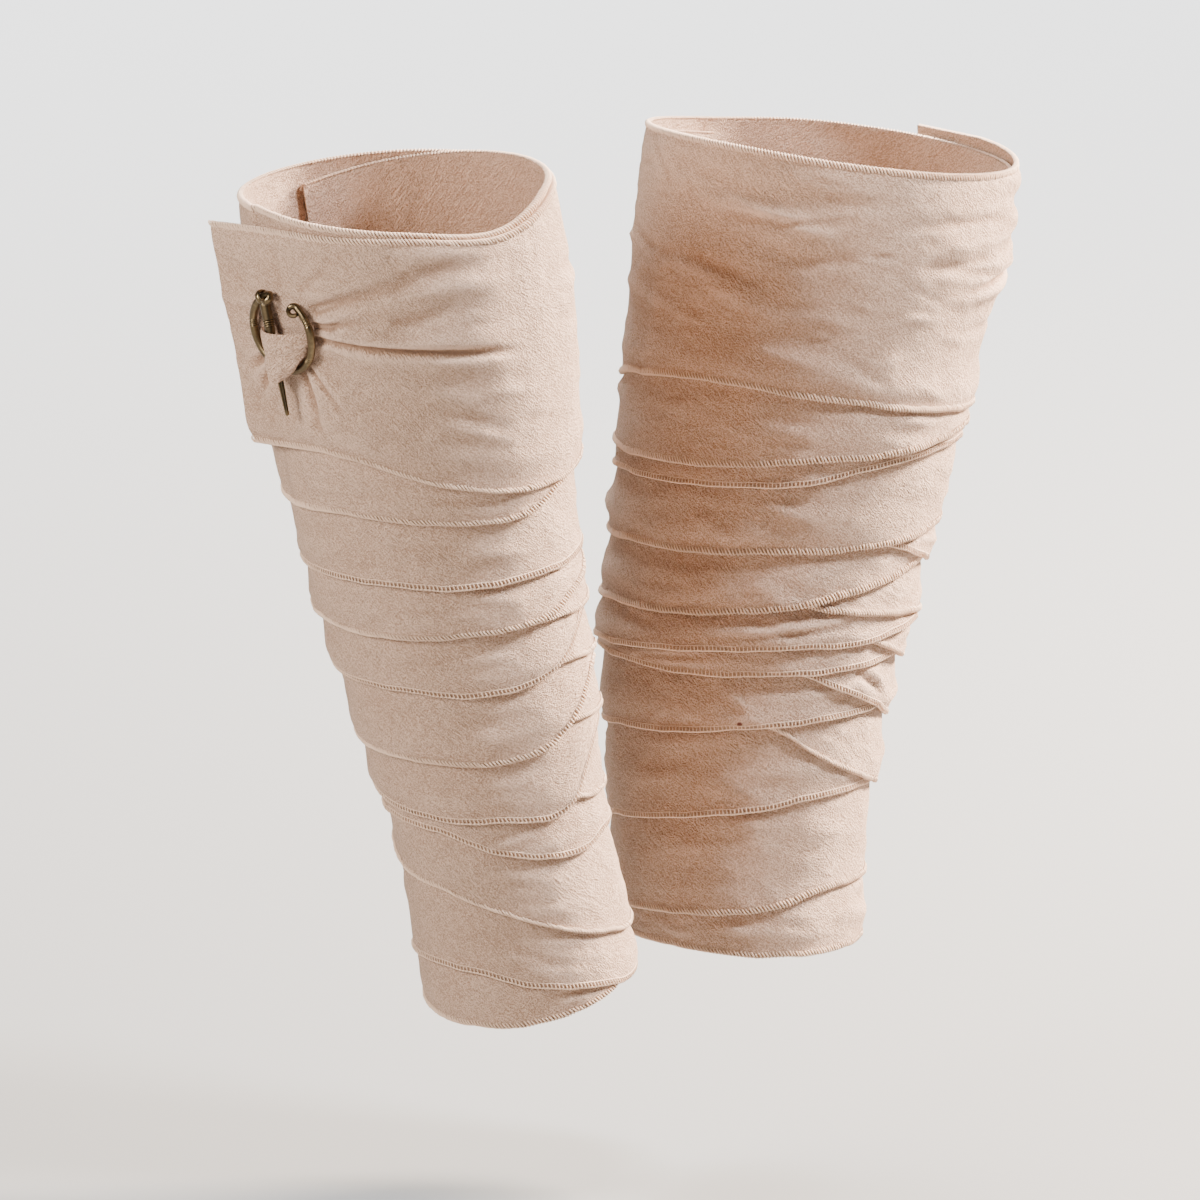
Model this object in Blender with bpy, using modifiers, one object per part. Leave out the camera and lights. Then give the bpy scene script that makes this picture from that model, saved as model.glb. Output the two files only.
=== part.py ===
"""A pair of leg wraps: two long cotton strips, each wound up a lower leg and pinned with a brooch.

Metres, +Z up. The wearer faces -Y and the wearer's left is +X. The origin lies between the two
calves, where the wraps are held up. Every length in the tables is in millimetres, and heights run
up each leg's own axis from its hem.

Each strip is wound from the hem to the rim: from the back, round the inner side and the front, to
the outer side, a little higher every time. A turn is one sheet with a wall, and its lower edge
lies on the turns wound before it.
"""

import math
from collections import namedtuple

import bmesh
import bpy
from mathutils import Euler, Matrix, Vector

MM = 0.001
PART_NAME = "leg_wraps"

# ---- the cloth, in millimetres
WALL = 1.0            # cloth with its overlocked edges
LAYER_GAP = 0.5       # air between one layer and the next
SEAM_GAP = 0.3        # air where one turn's solid ends and the next one's begins
TUCK = 6.0            # how far a turn reaches up beneath those wound over it
LEAST_REACH = 8.0     # height of a turn that the next ones cover almost whole
EDGE_CLEARANCE = 1.0  # a turn bends back to the leg this far above the edge it covers
BEND_REACH = 30.0     # the bend is never further above the lower edge than this
SPOT_SPACING = 1.5    # spacing of the places where a new turn is fitted to those beneath
SETTLING_SWEEPS = 12
COLUMNS = 20          # columns of faces round one turn
BAND_STEPS = 3        # rows of faces above the bend in the two broad turns at the rim

# ---- the strip's free end and the brooch that pins it, in millimetres and degrees
PIN_ANGLE = 84.0      # where the free end leaves the leg, measured from the front outwards
FLAP_LENGTH = 37.0    # straight run of the free end past the pin
FLAP_SKEW = 5.0       # the end is cut this much longer at the rim and shorter below
BROOCH_HEIGHT = 292.0
BROOCH_RUN = 4.0      # the ring's centre lies this far along the straight run
BROOCH_GAP = 0.7      # air between the cloth and the brooch's own frame

RING_RADIUS = 15.4    # to the middle of the wire
RING_WIRE = 1.55      # radius of the wire
RING_CENTRE = (0.7, -1.3)
RING_ARC = (77, -225)  # degrees, from the terminal that carries the pin, round below, to the other
RING_END_WIRE = 1.25   # radius of the wire where the terminals begin to roll
CURL_RADIUS = 1.9
CURL_WIRE = 1.1
CURL_TURN = 235       # degrees that each terminal rolls up and back over the ring
RING_LIFT = 2.6       # middle of the ring above the cloth
RING_TILT = 0.05      # its open end stands further out

EYE_ANGLE = 60        # where the pin's eye runs round the wire
EYE_RADIUS = 2.42
EYE_WIRE = 0.75
PIN_TIP = (0.6, -33.1)  # along the strip and up, from the middle of the brooch
PIN_SLOPE = 0.085       # the pin leans out from the cloth, over the ring

CLOTH_COLOUR = (0.70, 0.53, 0.42, 1.0)
BRONZE_COLOUR = (0.17, 0.13, 0.075, 1.0)

# ---- tables
Section = namedtuple("Section", "height half_width half_depth out back")
COMPASS = ("back back_in in_back in_front front_in "
           "front front_out out_front out_back back_out")
Turn = namedtuple("Turn", "name " + COMPASS)
Leg = namedtuple("Leg", "name side hem_centre lean sections turns upper_edges")
Layer = namedtuple("Layer", "first heights reaches")

# The hollow that each wrap is wound round: an oval, and how far its middle lies out and back.
RIGHT_SECTIONS = (
    Section(0, 40, 41, 0, 0),
    Section(40, 39.5, 40.5, 0, 1),
    Section(80, 39, 40, 0, 4),
    Section(120, 44, 45.5, 1, 7),
    Section(160, 47.5, 49, 2, 10),
    Section(200, 51.5, 53, 3, 10),
    Section(240, 57.5, 59, 3, 8),
    Section(280, 59, 60.5, 3, 5),
    Section(320, 58, 59.5, 4, 3),
    Section(360, 57, 58.5, 4, 2),
)
LEFT_SECTIONS = (
    Section(0, 47, 48.5, 0, 0),
    Section(40, 48.5, 50, -3, 5),
    Section(80, 52, 53.5, -4, 7),
    Section(120, 56.5, 58, -4, 8),
    Section(160, 60, 61.5, -2, 7),
    Section(200, 64, 65.5, 0, 4),
    Section(240, 67.5, 69, 1, 2),
    Section(280, 70.5, 72.5, 3, 1),
    Section(320, 72, 74, 4, 0),
    Section(360, 72.5, 74.5, 5, 0),
)
SECTION_SPACING = 40

# Height of each turn's lower edge at ten places round the leg.
#             back  back_in in_back in_front front_in front front_out out_front out_back back_out
RIGHT_TURNS = (
    Turn("right_turn_01", 3, 4, 6, 8, 9, 4, 1, 1, 3, 5),
    Turn("right_turn_02", 6, 6, 5, 5, 5, 10, 17, 25, 26, 25),
    Turn("right_turn_03", 25, 25, 24, 24, 25, 32, 44, 56, 62, 70),
    Turn("right_turn_04", 71, 70, 69, 68, 67, 64, 70, 81, 84, 84),
    Turn("right_turn_05", 84, 83, 82, 81, 81, 86, 91, 95, 97, 98),
    Turn("right_turn_06", 98, 99, 101, 105, 106, 82, 84, 87, 91, 95),
    Turn("right_turn_07", 100, 105, 109, 112, 113, 118, 117, 117, 117, 117),
    Turn("right_turn_08", 117, 119, 122, 127, 130, 111, 108, 112, 114, 115),
    Turn("right_turn_09", 120, 126, 131, 135, 137, 142, 142, 145, 147, 147),
    Turn("right_turn_10", 147, 148, 150, 153, 154, 138, 137, 142, 144, 146),
    Turn("right_turn_11", 148, 151, 154, 156, 157, 160, 164, 167, 168, 168),
    Turn("right_turn_12", 168, 169, 171, 173, 168, 161, 162, 164, 167, 168),
    Turn("right_turn_13", 171, 175, 178, 179, 178, 179, 182, 187, 188, 188),
    Turn("right_turn_14", 190, 195, 201, 208, 214, 205, 209, 216, 216, 216),
    Turn("right_under_band", 218, 224, 226, 226, 224, 226, 236, 247, 246, 234),
    Turn("right_top_band", 223, 222, 220, 217, 214, 215, 226, 241, 241, 240),
)
LEFT_TURNS = (
    Turn("left_turn_01", 0, 0, 0, 0, 0, 3, 6, 8, 8, 8),
    Turn("left_turn_02", 9, 10, 11, 14, 18, 28, 32, 34, 36, 38),
    Turn("left_turn_03", 40, 43, 47, 52, 59, 67, 71, 72, 74, 78),
    Turn("left_turn_04", 84, 89, 92, 94, 94, 79, 70, 68, 70, 75),
    Turn("left_turn_05", 79, 82, 84, 87, 93, 99, 104, 106, 107, 109),
    Turn("left_turn_06", 112, 115, 115, 115, 118, 109, 98, 95, 97, 103),
    Turn("left_turn_07", 109, 112, 112, 111, 114, 119, 125, 127, 127, 126),
    Turn("left_turn_08", 125, 124, 123, 125, 129, 131, 122, 118, 117, 116),
    Turn("left_turn_09", 116, 116, 117, 120, 125, 129, 137, 140, 141, 141),
    Turn("left_turn_10", 141, 140, 140, 141, 144, 141, 141, 139, 137, 135),
    Turn("left_turn_11", 134, 134, 134, 135, 141, 152, 163, 165, 166, 167),
    Turn("left_turn_12", 168, 168, 167, 167, 170, 170, 162, 159, 158, 158),
    Turn("left_turn_13", 158, 159, 159, 160, 164, 169, 177, 180, 182, 184),
    Turn("left_turn_14", 185, 186, 186, 187, 192, 204, 211, 210, 205, 200),
    Turn("left_turn_15", 197, 196, 194, 195, 201, 208, 217, 220, 222, 224),
    Turn("left_under_band", 228, 232, 234, 234, 232, 230, 230, 234, 234, 226),
    Turn("left_top_band", 219, 221, 226, 229, 227, 225, 225, 229, 231, 231),
)

# Height of the upper edge of the two broad turns at each rim.
RIGHT_UPPER_EDGES = (
    Turn("right_under_band", 324, 326, 327, 327, 326, 320, 327, 333, 337, 335),
    Turn("right_top_band", 332, 329, 326, 325, 323, 318, 325, 329, 332, 332),
)
LEFT_UPPER_EDGES = (
    Turn("left_under_band", 318, 319, 320, 320, 318, 317, 319, 322, 325, 326),
    Turn("left_top_band", 324, 324, 324, 323, 321, 320, 322, 327, 330, 330),
)

# The puff of cloth drawn through the ring, over the pin: rows from its upper mouth to its point,
# with its edge towards the strip's end, its other edge, and the lift of both edges and its crown.
PuffRow = namedtuple("PuffRow", "up end_side far_side edge_lift crown_lift")
PUFF_ROWS = (
    PuffRow(-0.9, 12.2, -11.9, 0.7, 7.8),
    PuffRow(-1.9, 12.6, -12.2, 0.7, 8.1),
    PuffRow(-5.0, 12.2, -11.4, 0.7, 8.4),
    PuffRow(-9.0, 10.6, -9.2, 1.0, 8.6),
    PuffRow(-12.5, 9.2, -7.0, 4.7, 8.9),
    PuffRow(-15.8, 7.4, -3.2, 5.2, 9.3),
    PuffRow(-18.6, 4.9, 0.8, 8.5, 9.5),
)
PUFF_COLUMNS = 9
PUFF_ROUNDNESS = 2.4

RIGHT_LEG = Leg("right", -1, (-62, -14, -250), (-1.1, -9.6),
                RIGHT_SECTIONS, RIGHT_TURNS, RIGHT_UPPER_EDGES)
LEFT_LEG = Leg("left", 1, (70, 14, -256), (0.0, 7.7),
               LEFT_SECTIONS, LEFT_TURNS, LEFT_UPPER_EDGES)


# ---- small helpers

def between(low, high, share):
    return low + (high - low) * share


def smooth(values, place):
    """Read a smooth curve through evenly spaced values."""
    last = len(values) - 1
    start = min(int(place), last - 1)
    share = place - start
    before, a, b, after = (values[min(max(start + step, 0), last)] for step in (-1, 0, 1, 2))
    leaving = (b - before) / 2
    arriving = (after - a) / 2
    rise = b - a
    return (a + share * leaving
            + share ** 2 * (3 * rise - 2 * leaving - arriving)
            + share ** 3 * (leaving + arriving - 2 * rise))


def edge_heights(rows):
    """Heights of an edge along the whole strip, one for each column and one more."""
    named = [value for row in rows for value in row[1:]]
    named.append(2 * named[-1] - named[-2])
    places_each = len(COMPASS.split())
    return [smooth(named, column * places_each / COLUMNS)
            for column in range(COLUMNS * len(rows) + 1)]


def section_at(leg, height):
    """The oval at a height: a smooth form through the rows of the table."""
    place = max(0.0, height / SECTION_SPACING)
    return [smooth(column, place) for column in zip(*(row[1:] for row in leg.sections))]


def bare_reach(leg, height):
    """Half width of the hollow that the strip is wound round."""
    return section_at(leg, height)[0]


def leg_point(leg, angle, height, reach, run=0.0):
    """A point round the leg; reach is its half width there, and run carries on straight."""
    half_width, half_depth, out, back = section_at(leg, height)
    depth_reach = reach + half_depth - half_width
    turn = math.radians(angle)
    along = Vector((reach * math.cos(turn), -depth_reach * math.sin(turn))).normalized()
    across = reach * math.sin(turn) + run * along.x + out
    ahead = depth_reach * math.cos(turn) + run * along.y - back
    return Vector((leg.side * across, -ahead, height))


# ---- winding the strip

def layer_at(layer, column):
    """Heights and reaches of a layer's points at a column, or between two columns."""
    place = column - layer.first
    if place < 0 or place > len(layer.reaches) - 1:
        return None
    low = min(int(place), len(layer.reaches) - 2)
    share = place - low
    return tuple([between(a, b, share) for a, b in zip(values[low], values[low + 1])]
                 for values in (layer.heights, layer.reaches))


def profiles_beneath(layers, column):
    """Profiles of every layer already laid at this column and half a column to either side."""
    profiles = []
    for layer in layers:
        for nearby in (column - 0.5, column, column + 0.5):
            beneath = nearby - COLUMNS
            while beneath >= layer.first:
                profile = layer_at(layer, beneath)
                if profile:
                    profiles.append(profile)
                beneath -= COLUMNS
    return profiles


def read_profile(profile, height):
    """Reach of a profile at a height, or None well above or below it."""
    heights, reaches = profile
    if not heights[0] - EDGE_CLEARANCE <= height <= heights[-1] + EDGE_CLEARANCE:
        return None
    height = min(max(height, heights[0]), heights[-1])
    for index in range(len(heights) - 1):
        low, high = heights[index], heights[index + 1]
        if low <= height <= high:
            return between(reaches[index], reaches[index + 1], (height - low) / (high - low))
    return None


def reach_needed(profiles, height):
    """Reach that clears every profile at a height, or 0 where there is none."""
    found = [read_profile(profile, height) for profile in profiles]
    return max((reach + WALL + LAYER_GAP for reach in found if reach is not None), default=0.0)


def settle(leg, heights, profiles):
    """Reaches of a column's points that just clear everything beneath it."""
    spots = [height for profile in profiles for height in profile[0]
             if heights[0] < height < heights[-1]]
    count = int((heights[-1] - heights[0]) / SPOT_SPACING) + 1
    spots += [between(heights[0], heights[-1], step / count) for step in range(1, count)]
    needs = [(spot, reach_needed(profiles, spot)) for spot in sorted(spots)]
    reaches = [max(bare_reach(leg, height), reach_needed(profiles, height)) for height in heights]
    for sweep in range(SETTLING_SWEEPS):
        for spot, need in needs:
            low = max(index for index, height in enumerate(heights[:-1]) if height <= spot)
            far = (spot - heights[low]) / (heights[low + 1] - heights[low])
            near = 1 - far
            short = need - near * reaches[low] - far * reaches[low + 1]
            if short > 0:
                share = short / (near * near + far * far)
                reaches[low] += near * share
                reaches[low + 1] += far * share
    return reaches


def upper_edge(lower, own_upper, turn, turns, column):
    """Top of a turn at a column: tucked under the later turns, or the strip's full width."""
    if turn >= turns - 2:
        return own_upper[column - COLUMNS * (turns - 2)]
    later = [lower[column + COLUMNS * step] for step in range(1, turns - turn)
             if column + COLUMNS * step < len(lower)]
    return max(lower[column] + LEAST_REACH, min(later) + TUCK)


def wind(leg):
    """Lay the strip turn by turn, each on those before it, and return its layers."""
    lower = edge_heights(leg.turns)
    own_upper = edge_heights(leg.upper_edges)
    turns = len(leg.turns)
    layers = []
    for turn in range(turns):
        first = turn * COLUMNS
        steps = BAND_STEPS if turn >= turns - 2 else 1
        layer = Layer(first, [], [])
        layers.append(layer)
        for column in range(first, first + COLUMNS + 1):
            low = lower[column]
            high = upper_edge(lower, own_upper, turn, turns, column)
            profiles = profiles_beneath(layers, column)
            covered = [heights[-1] for heights, reaches in profiles
                       if low < heights[-1] < min(high, low + BEND_REACH)]
            bend = max(covered, default=low) + EDGE_CLEARANCE
            bend = min(max(bend, low + 3.0), high - 3.0)
            heights = [low] + [between(bend, high, step / steps) for step in range(steps + 1)]
            layer.heights.append(heights)
            layer.reaches.append(settle(leg, heights, profiles))
    return layers


# ---- making objects

def clear_scene():
    for item in list(bpy.data.objects):
        bpy.data.objects.remove(item, do_unlink=True)


def new_collection():
    collection = bpy.data.collections.new(PART_NAME)
    bpy.context.scene.collection.children.link(collection)
    return collection


def new_material(name, colour, roughness, metallic):
    material = bpy.data.materials.new(name)
    material.use_nodes = True
    shader = material.node_tree.nodes["Principled BSDF"]
    shader.inputs["Base Color"].default_value = colour
    shader.inputs["Roughness"].default_value = roughness
    shader.inputs["Metallic"].default_value = metallic
    return material


def add_object(name, data, collection, parent):
    item = bpy.data.objects.new(name, data)
    item.parent = parent
    collection.objects.link(item)
    return item


def add_empty(name, collection, parent, matrix):
    empty = add_object(name, None, collection, parent)
    empty.empty_display_size = 0.05
    empty.matrix_local = matrix
    return empty


def sheet_object(name, rows, flipped, collection, parent):
    """An open sheet through rows of points in millimetres, with a wall on its outer side."""
    shape = bmesh.new()
    corners = [[shape.verts.new(point * MM) for point in row] for row in rows]
    for near, far in zip(corners, corners[1:]):
        for a, b, c, d in zip(near, near[1:], far[1:], far):
            shape.faces.new((d, c, b, a) if flipped else (a, b, c, d))
    mesh = bpy.data.meshes.new(name)
    shape.to_mesh(mesh)
    shape.free()
    mesh.shade_smooth()
    mesh.materials.append(new_material(name, CLOTH_COLOUR, 0.9, 0.0))
    item = add_object(name, mesh, collection, parent)
    wall = item.modifiers.new("wall", "SOLIDIFY")
    wall.thickness = WALL * MM
    wall.offset = 1.0
    wall.use_even_offset = True
    return item


def band_stations():
    """Angle, straight run and column of each row of points in the turn that ends the strip."""
    step = 360 / COLUMNS
    stations = [(-180 + step * column, 0.0, column) for column in range(COLUMNS)
                if -180 + step * column < PIN_ANGLE - 5]
    end_column = (PIN_ANGLE + 180) / step
    stations.append((PIN_ANGLE, 0.0, end_column))
    for share in (1 / 3, 2 / 3, 1.0):
        stations.append((PIN_ANGLE, FLAP_LENGTH * share, end_column + 2 * share))
    return stations


def layer_points(leg, layer, place, angle, run=0.0):
    """Points up one column of a layer, given how many columns past its start it lies."""
    heights, reaches = layer_at(layer, layer.first + place)
    points = []
    for height, reach in zip(heights, reaches):
        skew = 0.0
        if run:
            share = (height - heights[0]) / (heights[-1] - heights[0])
            skew = FLAP_SKEW * (2 * share - 1) * run / FLAP_LENGTH
        points.append(leg_point(leg, angle, height, reach, run + skew))
    return points


def turn_rows(leg, layer):
    """Rows of points of a whole turn, its two ends drawn back for the seam."""
    step = 360 / COLUMNS
    rows = [layer_points(leg, layer, column, -180 + step * column)
            for column in range(COLUMNS + 1)]
    for end, beside in ((0, 1), (-1, -2)):
        length = (rows[end][0] - rows[beside][0]).length
        share = SEAM_GAP / 2 / length
        rows[end] = [a.lerp(b, share) for a, b in zip(rows[end], rows[beside])]
    return rows


def band_rows(leg, layer):
    """Rows of points of the turn that ends the strip, with its straight free end."""
    rows = [layer_points(leg, layer, column, angle, run)
            for angle, run, column in band_stations()]
    share = SEAM_GAP / 2 / (rows[0][0] - rows[1][0]).length
    rows[0] = [a.lerp(b, share) for a, b in zip(rows[0], rows[1])]
    return rows


def mesh_from(item, collection, parent):
    """Turn an object's evaluated shape into a plain mesh object of the same name."""
    bpy.context.view_layer.update()
    evaluated = item.evaluated_get(bpy.context.evaluated_depsgraph_get())
    mesh = bpy.data.meshes.new_from_object(evaluated)
    name = item.name
    matrix = item.matrix_local.copy()
    bpy.data.objects.remove(item, do_unlink=True)
    mesh.name = name
    plain = add_object(name, mesh, collection, parent)
    plain.matrix_local = matrix
    return plain


def wire_object(name, points, radii, closed, collection, parent):
    """A round wire through points in millimetres, with capped ends."""
    curve = bpy.data.curves.new(name, "CURVE")
    curve.dimensions = "3D"
    curve.bevel_depth = MM
    curve.bevel_resolution = 2
    curve.use_fill_caps = True
    spline = curve.splines.new("POLY")
    spline.points.add(len(points) - 1)
    for corner, point, radius in zip(spline.points, points, radii):
        corner.co = (*(Vector(point) * MM), 1.0)
        corner.radius = radius
    spline.use_cyclic_u = closed
    curve.materials.append(new_material(name, BRONZE_COLOUR, 0.35, 1.0))
    item = add_object(name, curve, collection, parent)
    plain = mesh_from(item, collection, parent)
    weld = bmesh.new()
    weld.from_mesh(plain.data)
    bmesh.ops.remove_doubles(weld, verts=weld.verts, dist=0.00001)
    weld.to_mesh(plain.data)
    weld.free()
    plain.data.shade_smooth()
    return plain


def ring_lift(up):
    """Height of the ring's plane above the cloth."""
    return RING_LIFT + RING_TILT * (up - RING_CENTRE[1])


def ring_place(angle, radius=RING_RADIUS):
    """A point of the brooch about the ring's centre: along the strip and up."""
    turned = math.radians(angle)
    return Vector((RING_CENTRE[0] + radius * math.cos(turned),
                   RING_CENTRE[1] + radius * math.sin(turned)))


def ring_path(hand):
    """Centre line of the ring, both terminals rolled up and back, and its radius on the way."""
    points, radii = [], []
    start, end = RING_ARC

    def add(angle, onward, above, radius):
        turned = math.radians(angle)
        place = ring_place(angle) + onward * Vector((-math.sin(turned), math.cos(turned)))
        points.append((hand * place.x, place.y, ring_lift(place.y) + above))
        radii.append(radius)

    def curl(angle, direction):
        """Stations of a terminal's roll, which rises from the ring's plane."""
        steps = 12
        for step in range(1, steps + 1):
            turned = math.radians(CURL_TURN) * step / steps
            yield (angle, direction * CURL_RADIUS * math.sin(turned),
                   CURL_RADIUS * (1 - math.cos(turned)),
                   between(RING_END_WIRE, CURL_WIRE, min(1.0, step / 4)))

    for station in reversed(list(curl(start, 1))):
        add(*station)
    steps = 28
    for step in range(steps + 1):
        from_end = min(step, steps - step) / 5
        add(between(start, end, step / steps), 0.0, 0.0,
            between(RING_END_WIRE, RING_WIRE, min(1.0, from_end)))
    for station in curl(end, -1):
        add(*station)
    return points, radii


def add_ring(leg, collection, seat):
    points, radii = ring_path(leg.side)
    wire_object(leg.name + "_brooch_ring", points, radii, False, collection, seat)


def add_pin(leg, collection, seat):
    """The pin: a turned barrel and blade, joined to an eye that runs round the ring."""
    name = leg.name + "_brooch_pin"
    eye = ring_place(EYE_ANGLE)
    start = ring_place(EYE_ANGLE, RING_RADIUS - EYE_RADIUS)
    lift = ring_lift(eye.y)
    top = Vector((leg.side * start.x, start.y, lift))
    tip = Vector((leg.side * PIN_TIP[0], PIN_TIP[1], lift + PIN_SLOPE * (start.y - PIN_TIP[1])))
    length = (tip - top).length
    # radius of the pin at distances from its eye
    profile = ((0.0, -0.4), (1.5, -0.4), (2.1, 0.2), (2.1, 8.6), (2.3, 8.8), (2.3, 9.8),
               (2.1, 10.0), (2.1, 12.0), (1.6, 13.5), (1.5, 26.0), (0.6, length - 0.8),
               (0.0, length))
    turned = bmesh.new()
    corners = [turned.verts.new((radius * MM, 0, -along * MM)) for radius, along in profile]
    for a, b in zip(corners, corners[1:]):
        turned.edges.new((a, b))
    mesh = bpy.data.meshes.new(name)
    turned.to_mesh(mesh)
    turned.free()
    mesh.materials.append(new_material(name, BRONZE_COLOUR, 0.35, 1.0))
    pin = add_object(name, mesh, collection, seat)
    pin.rotation_euler = (top - tip).to_track_quat("Z", "Y").to_euler()
    pin.location = top * MM
    screw = pin.modifiers.new("turned", "SCREW")
    screw.steps = 12
    screw.render_steps = 12
    screw.use_merge_vertices = True
    screw.merge_threshold = 0.00001
    pin = mesh_from(pin, collection, seat)

    outward = (eye - Vector(RING_CENTRE)).normalized() * EYE_RADIUS
    steps = 16
    eye_points = []
    for step in range(steps):
        at = 2 * math.pi * step / steps
        eye_points.append((leg.side * (eye.x + outward.x * math.cos(at)),
                           eye.y + outward.y * math.cos(at),
                           lift + EYE_RADIUS * math.sin(at)))
    loop = wire_object(name + "_eye", eye_points, [EYE_WIRE] * steps, True, collection, seat)
    join = pin.modifiers.new("eye", "BOOLEAN")
    join.operation = "UNION"
    join.object = loop
    bpy.context.view_layer.update()
    pin = mesh_from(pin, collection, seat)
    bpy.data.objects.remove(loop, do_unlink=True)
    pin.data.shade_smooth()


def add_puff(leg, collection, seat):
    """The puff of cloth drawn up through the ring and over the pin."""
    rows = []
    for row in PUFF_ROWS:
        points = []
        for column in range(PUFF_COLUMNS + 1):
            side = 2 * column / PUFF_COLUMNS - 1
            across = between(row.far_side, row.end_side, column / PUFF_COLUMNS)
            rise = 1 - abs(side) ** PUFF_ROUNDNESS
            points.append(Vector((leg.side * across, row.up,
                                  between(row.edge_lift, row.crown_lift, rise))))
        rows.append(points)
    sheet_object(leg.name + "_pinned_puff", rows, leg.side > 0, collection, seat)


def brooch_seat(leg, layers, collection, parent):
    """A frame on the outermost cloth: X along the strip, Y up the leg and Z out of the cloth."""
    step = 360 / COLUMNS
    heights, reaches = layer_at(layers[-1], layers[-1].first + (PIN_ANGLE + 180) / step)
    reach = read_profile((heights, reaches), BROOCH_HEIGHT) + WALL + BROOCH_GAP
    middle = leg_point(leg, PIN_ANGLE, BROOCH_HEIGHT, reach, BROOCH_RUN)
    along = leg_point(leg, PIN_ANGLE, BROOCH_HEIGHT, reach, BROOCH_RUN + 10) - middle
    along = (leg.side * along).normalized()
    up = leg_point(leg, PIN_ANGLE, BROOCH_HEIGHT + 10, reach, BROOCH_RUN) - middle
    out = along.cross(up).normalized()
    up = out.cross(along)
    turned = Matrix((along, up, out)).transposed().to_4x4()
    return add_empty(leg.name + "_brooch_seat", collection, parent,
                     Matrix.Translation(middle * MM) @ turned)


def add_leg(leg, collection):
    tilt_back, tilt_out = (math.radians(angle) for angle in leg.lean)
    axis = add_empty(leg.name + "_leg_axis", collection, None,
                     Matrix.Translation(Vector(leg.hem_centre) * MM)
                     @ Euler((tilt_back, tilt_out, 0)).to_matrix().to_4x4())
    layers = wind(leg)
    for turn, layer in zip(leg.turns[:-1], layers):
        sheet_object(turn.name, turn_rows(leg, layer), leg.side > 0, collection, axis)
    sheet_object(leg.turns[-1].name, band_rows(leg, layers[-1]), leg.side > 0, collection, axis)
    seat = brooch_seat(leg, layers, collection, axis)
    add_ring(leg, collection, seat)
    add_pin(leg, collection, seat)
    add_puff(leg, collection, seat)


def main():
    clear_scene()
    collection = new_collection()
    for leg in (RIGHT_LEG, LEFT_LEG):
        add_leg(leg, collection)


main()
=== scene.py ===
"""A pair of leg wraps: two strips of crepe cotton wound up the lower legs from ankle to calf,
each closed at its outer side with a bronze ring brooch whose pin holds a puff of the cloth."""

import math
from collections import namedtuple

import bpy
import numpy as np
from bpy.props import FloatProperty, FloatVectorProperty, IntProperty, PointerProperty
from mathutils import Euler, Matrix, Vector


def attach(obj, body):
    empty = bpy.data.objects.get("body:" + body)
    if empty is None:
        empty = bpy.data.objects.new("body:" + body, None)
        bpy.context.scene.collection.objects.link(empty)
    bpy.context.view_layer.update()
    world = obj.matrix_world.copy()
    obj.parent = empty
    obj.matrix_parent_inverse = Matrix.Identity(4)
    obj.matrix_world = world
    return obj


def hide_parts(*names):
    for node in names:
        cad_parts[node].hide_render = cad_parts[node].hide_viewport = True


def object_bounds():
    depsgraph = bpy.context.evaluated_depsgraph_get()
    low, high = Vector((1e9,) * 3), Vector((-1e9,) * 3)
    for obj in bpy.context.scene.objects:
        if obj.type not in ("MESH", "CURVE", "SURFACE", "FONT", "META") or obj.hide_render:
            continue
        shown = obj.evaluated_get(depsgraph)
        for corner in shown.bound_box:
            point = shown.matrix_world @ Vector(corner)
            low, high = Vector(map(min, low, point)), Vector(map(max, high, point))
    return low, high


bl_info = {
    "name": "Wound leg wraps",
    "version": (1, 0, 0),
    "blender": (4, 5, 0),
    "location": "View3D > Sidebar > Leg wraps",
    "description": "Builds a pair of wound leg wraps with overlocked edges and ring brooches",
    "category": "Add Mesh",
}

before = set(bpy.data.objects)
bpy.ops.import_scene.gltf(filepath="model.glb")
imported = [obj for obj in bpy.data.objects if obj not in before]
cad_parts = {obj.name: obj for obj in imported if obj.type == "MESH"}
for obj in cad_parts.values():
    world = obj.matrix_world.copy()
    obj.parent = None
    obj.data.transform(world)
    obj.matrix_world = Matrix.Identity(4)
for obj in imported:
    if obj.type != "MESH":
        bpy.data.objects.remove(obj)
CAD_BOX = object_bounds()

MM = 0.001
BODY = "root"

# ---- the strips as they are wound: heights and sizes in millimetres, angles in degrees
# An angle goes round the leg from the front (0) to its outer side (90).
Section = namedtuple("Section", "height half_width half_depth out back")
COMPASS = ("back back_in in_back in_front front_in "
           "front front_out out_front out_back back_out")
Turn = namedtuple("Turn", "name " + COMPASS)
PLACES = len(COMPASS.split())

RIGHT_SECTIONS = (
    Section(0, 40, 41, 0, 0),
    Section(40, 39.5, 40.5, 0, 1),
    Section(80, 39, 40, 0, 4),
    Section(120, 44, 45.5, 1, 7),
    Section(160, 47.5, 49, 2, 10),
    Section(200, 51.5, 53, 3, 10),
    Section(240, 57.5, 59, 3, 8),
    Section(280, 59, 60.5, 3, 5),
    Section(320, 58, 59.5, 4, 3),
    Section(360, 57, 58.5, 4, 2),
)
LEFT_SECTIONS = (
    Section(0, 47, 48.5, 0, 0),
    Section(40, 48.5, 50, -3, 5),
    Section(80, 52, 53.5, -4, 7),
    Section(120, 56.5, 58, -4, 8),
    Section(160, 60, 61.5, -2, 7),
    Section(200, 64, 65.5, 0, 4),
    Section(240, 67.5, 69, 1, 2),
    Section(280, 70.5, 72.5, 3, 1),
    Section(320, 72, 74, 4, 0),
    Section(360, 72.5, 74.5, 5, 0),
)
SECTION_SPACING = 40

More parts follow.
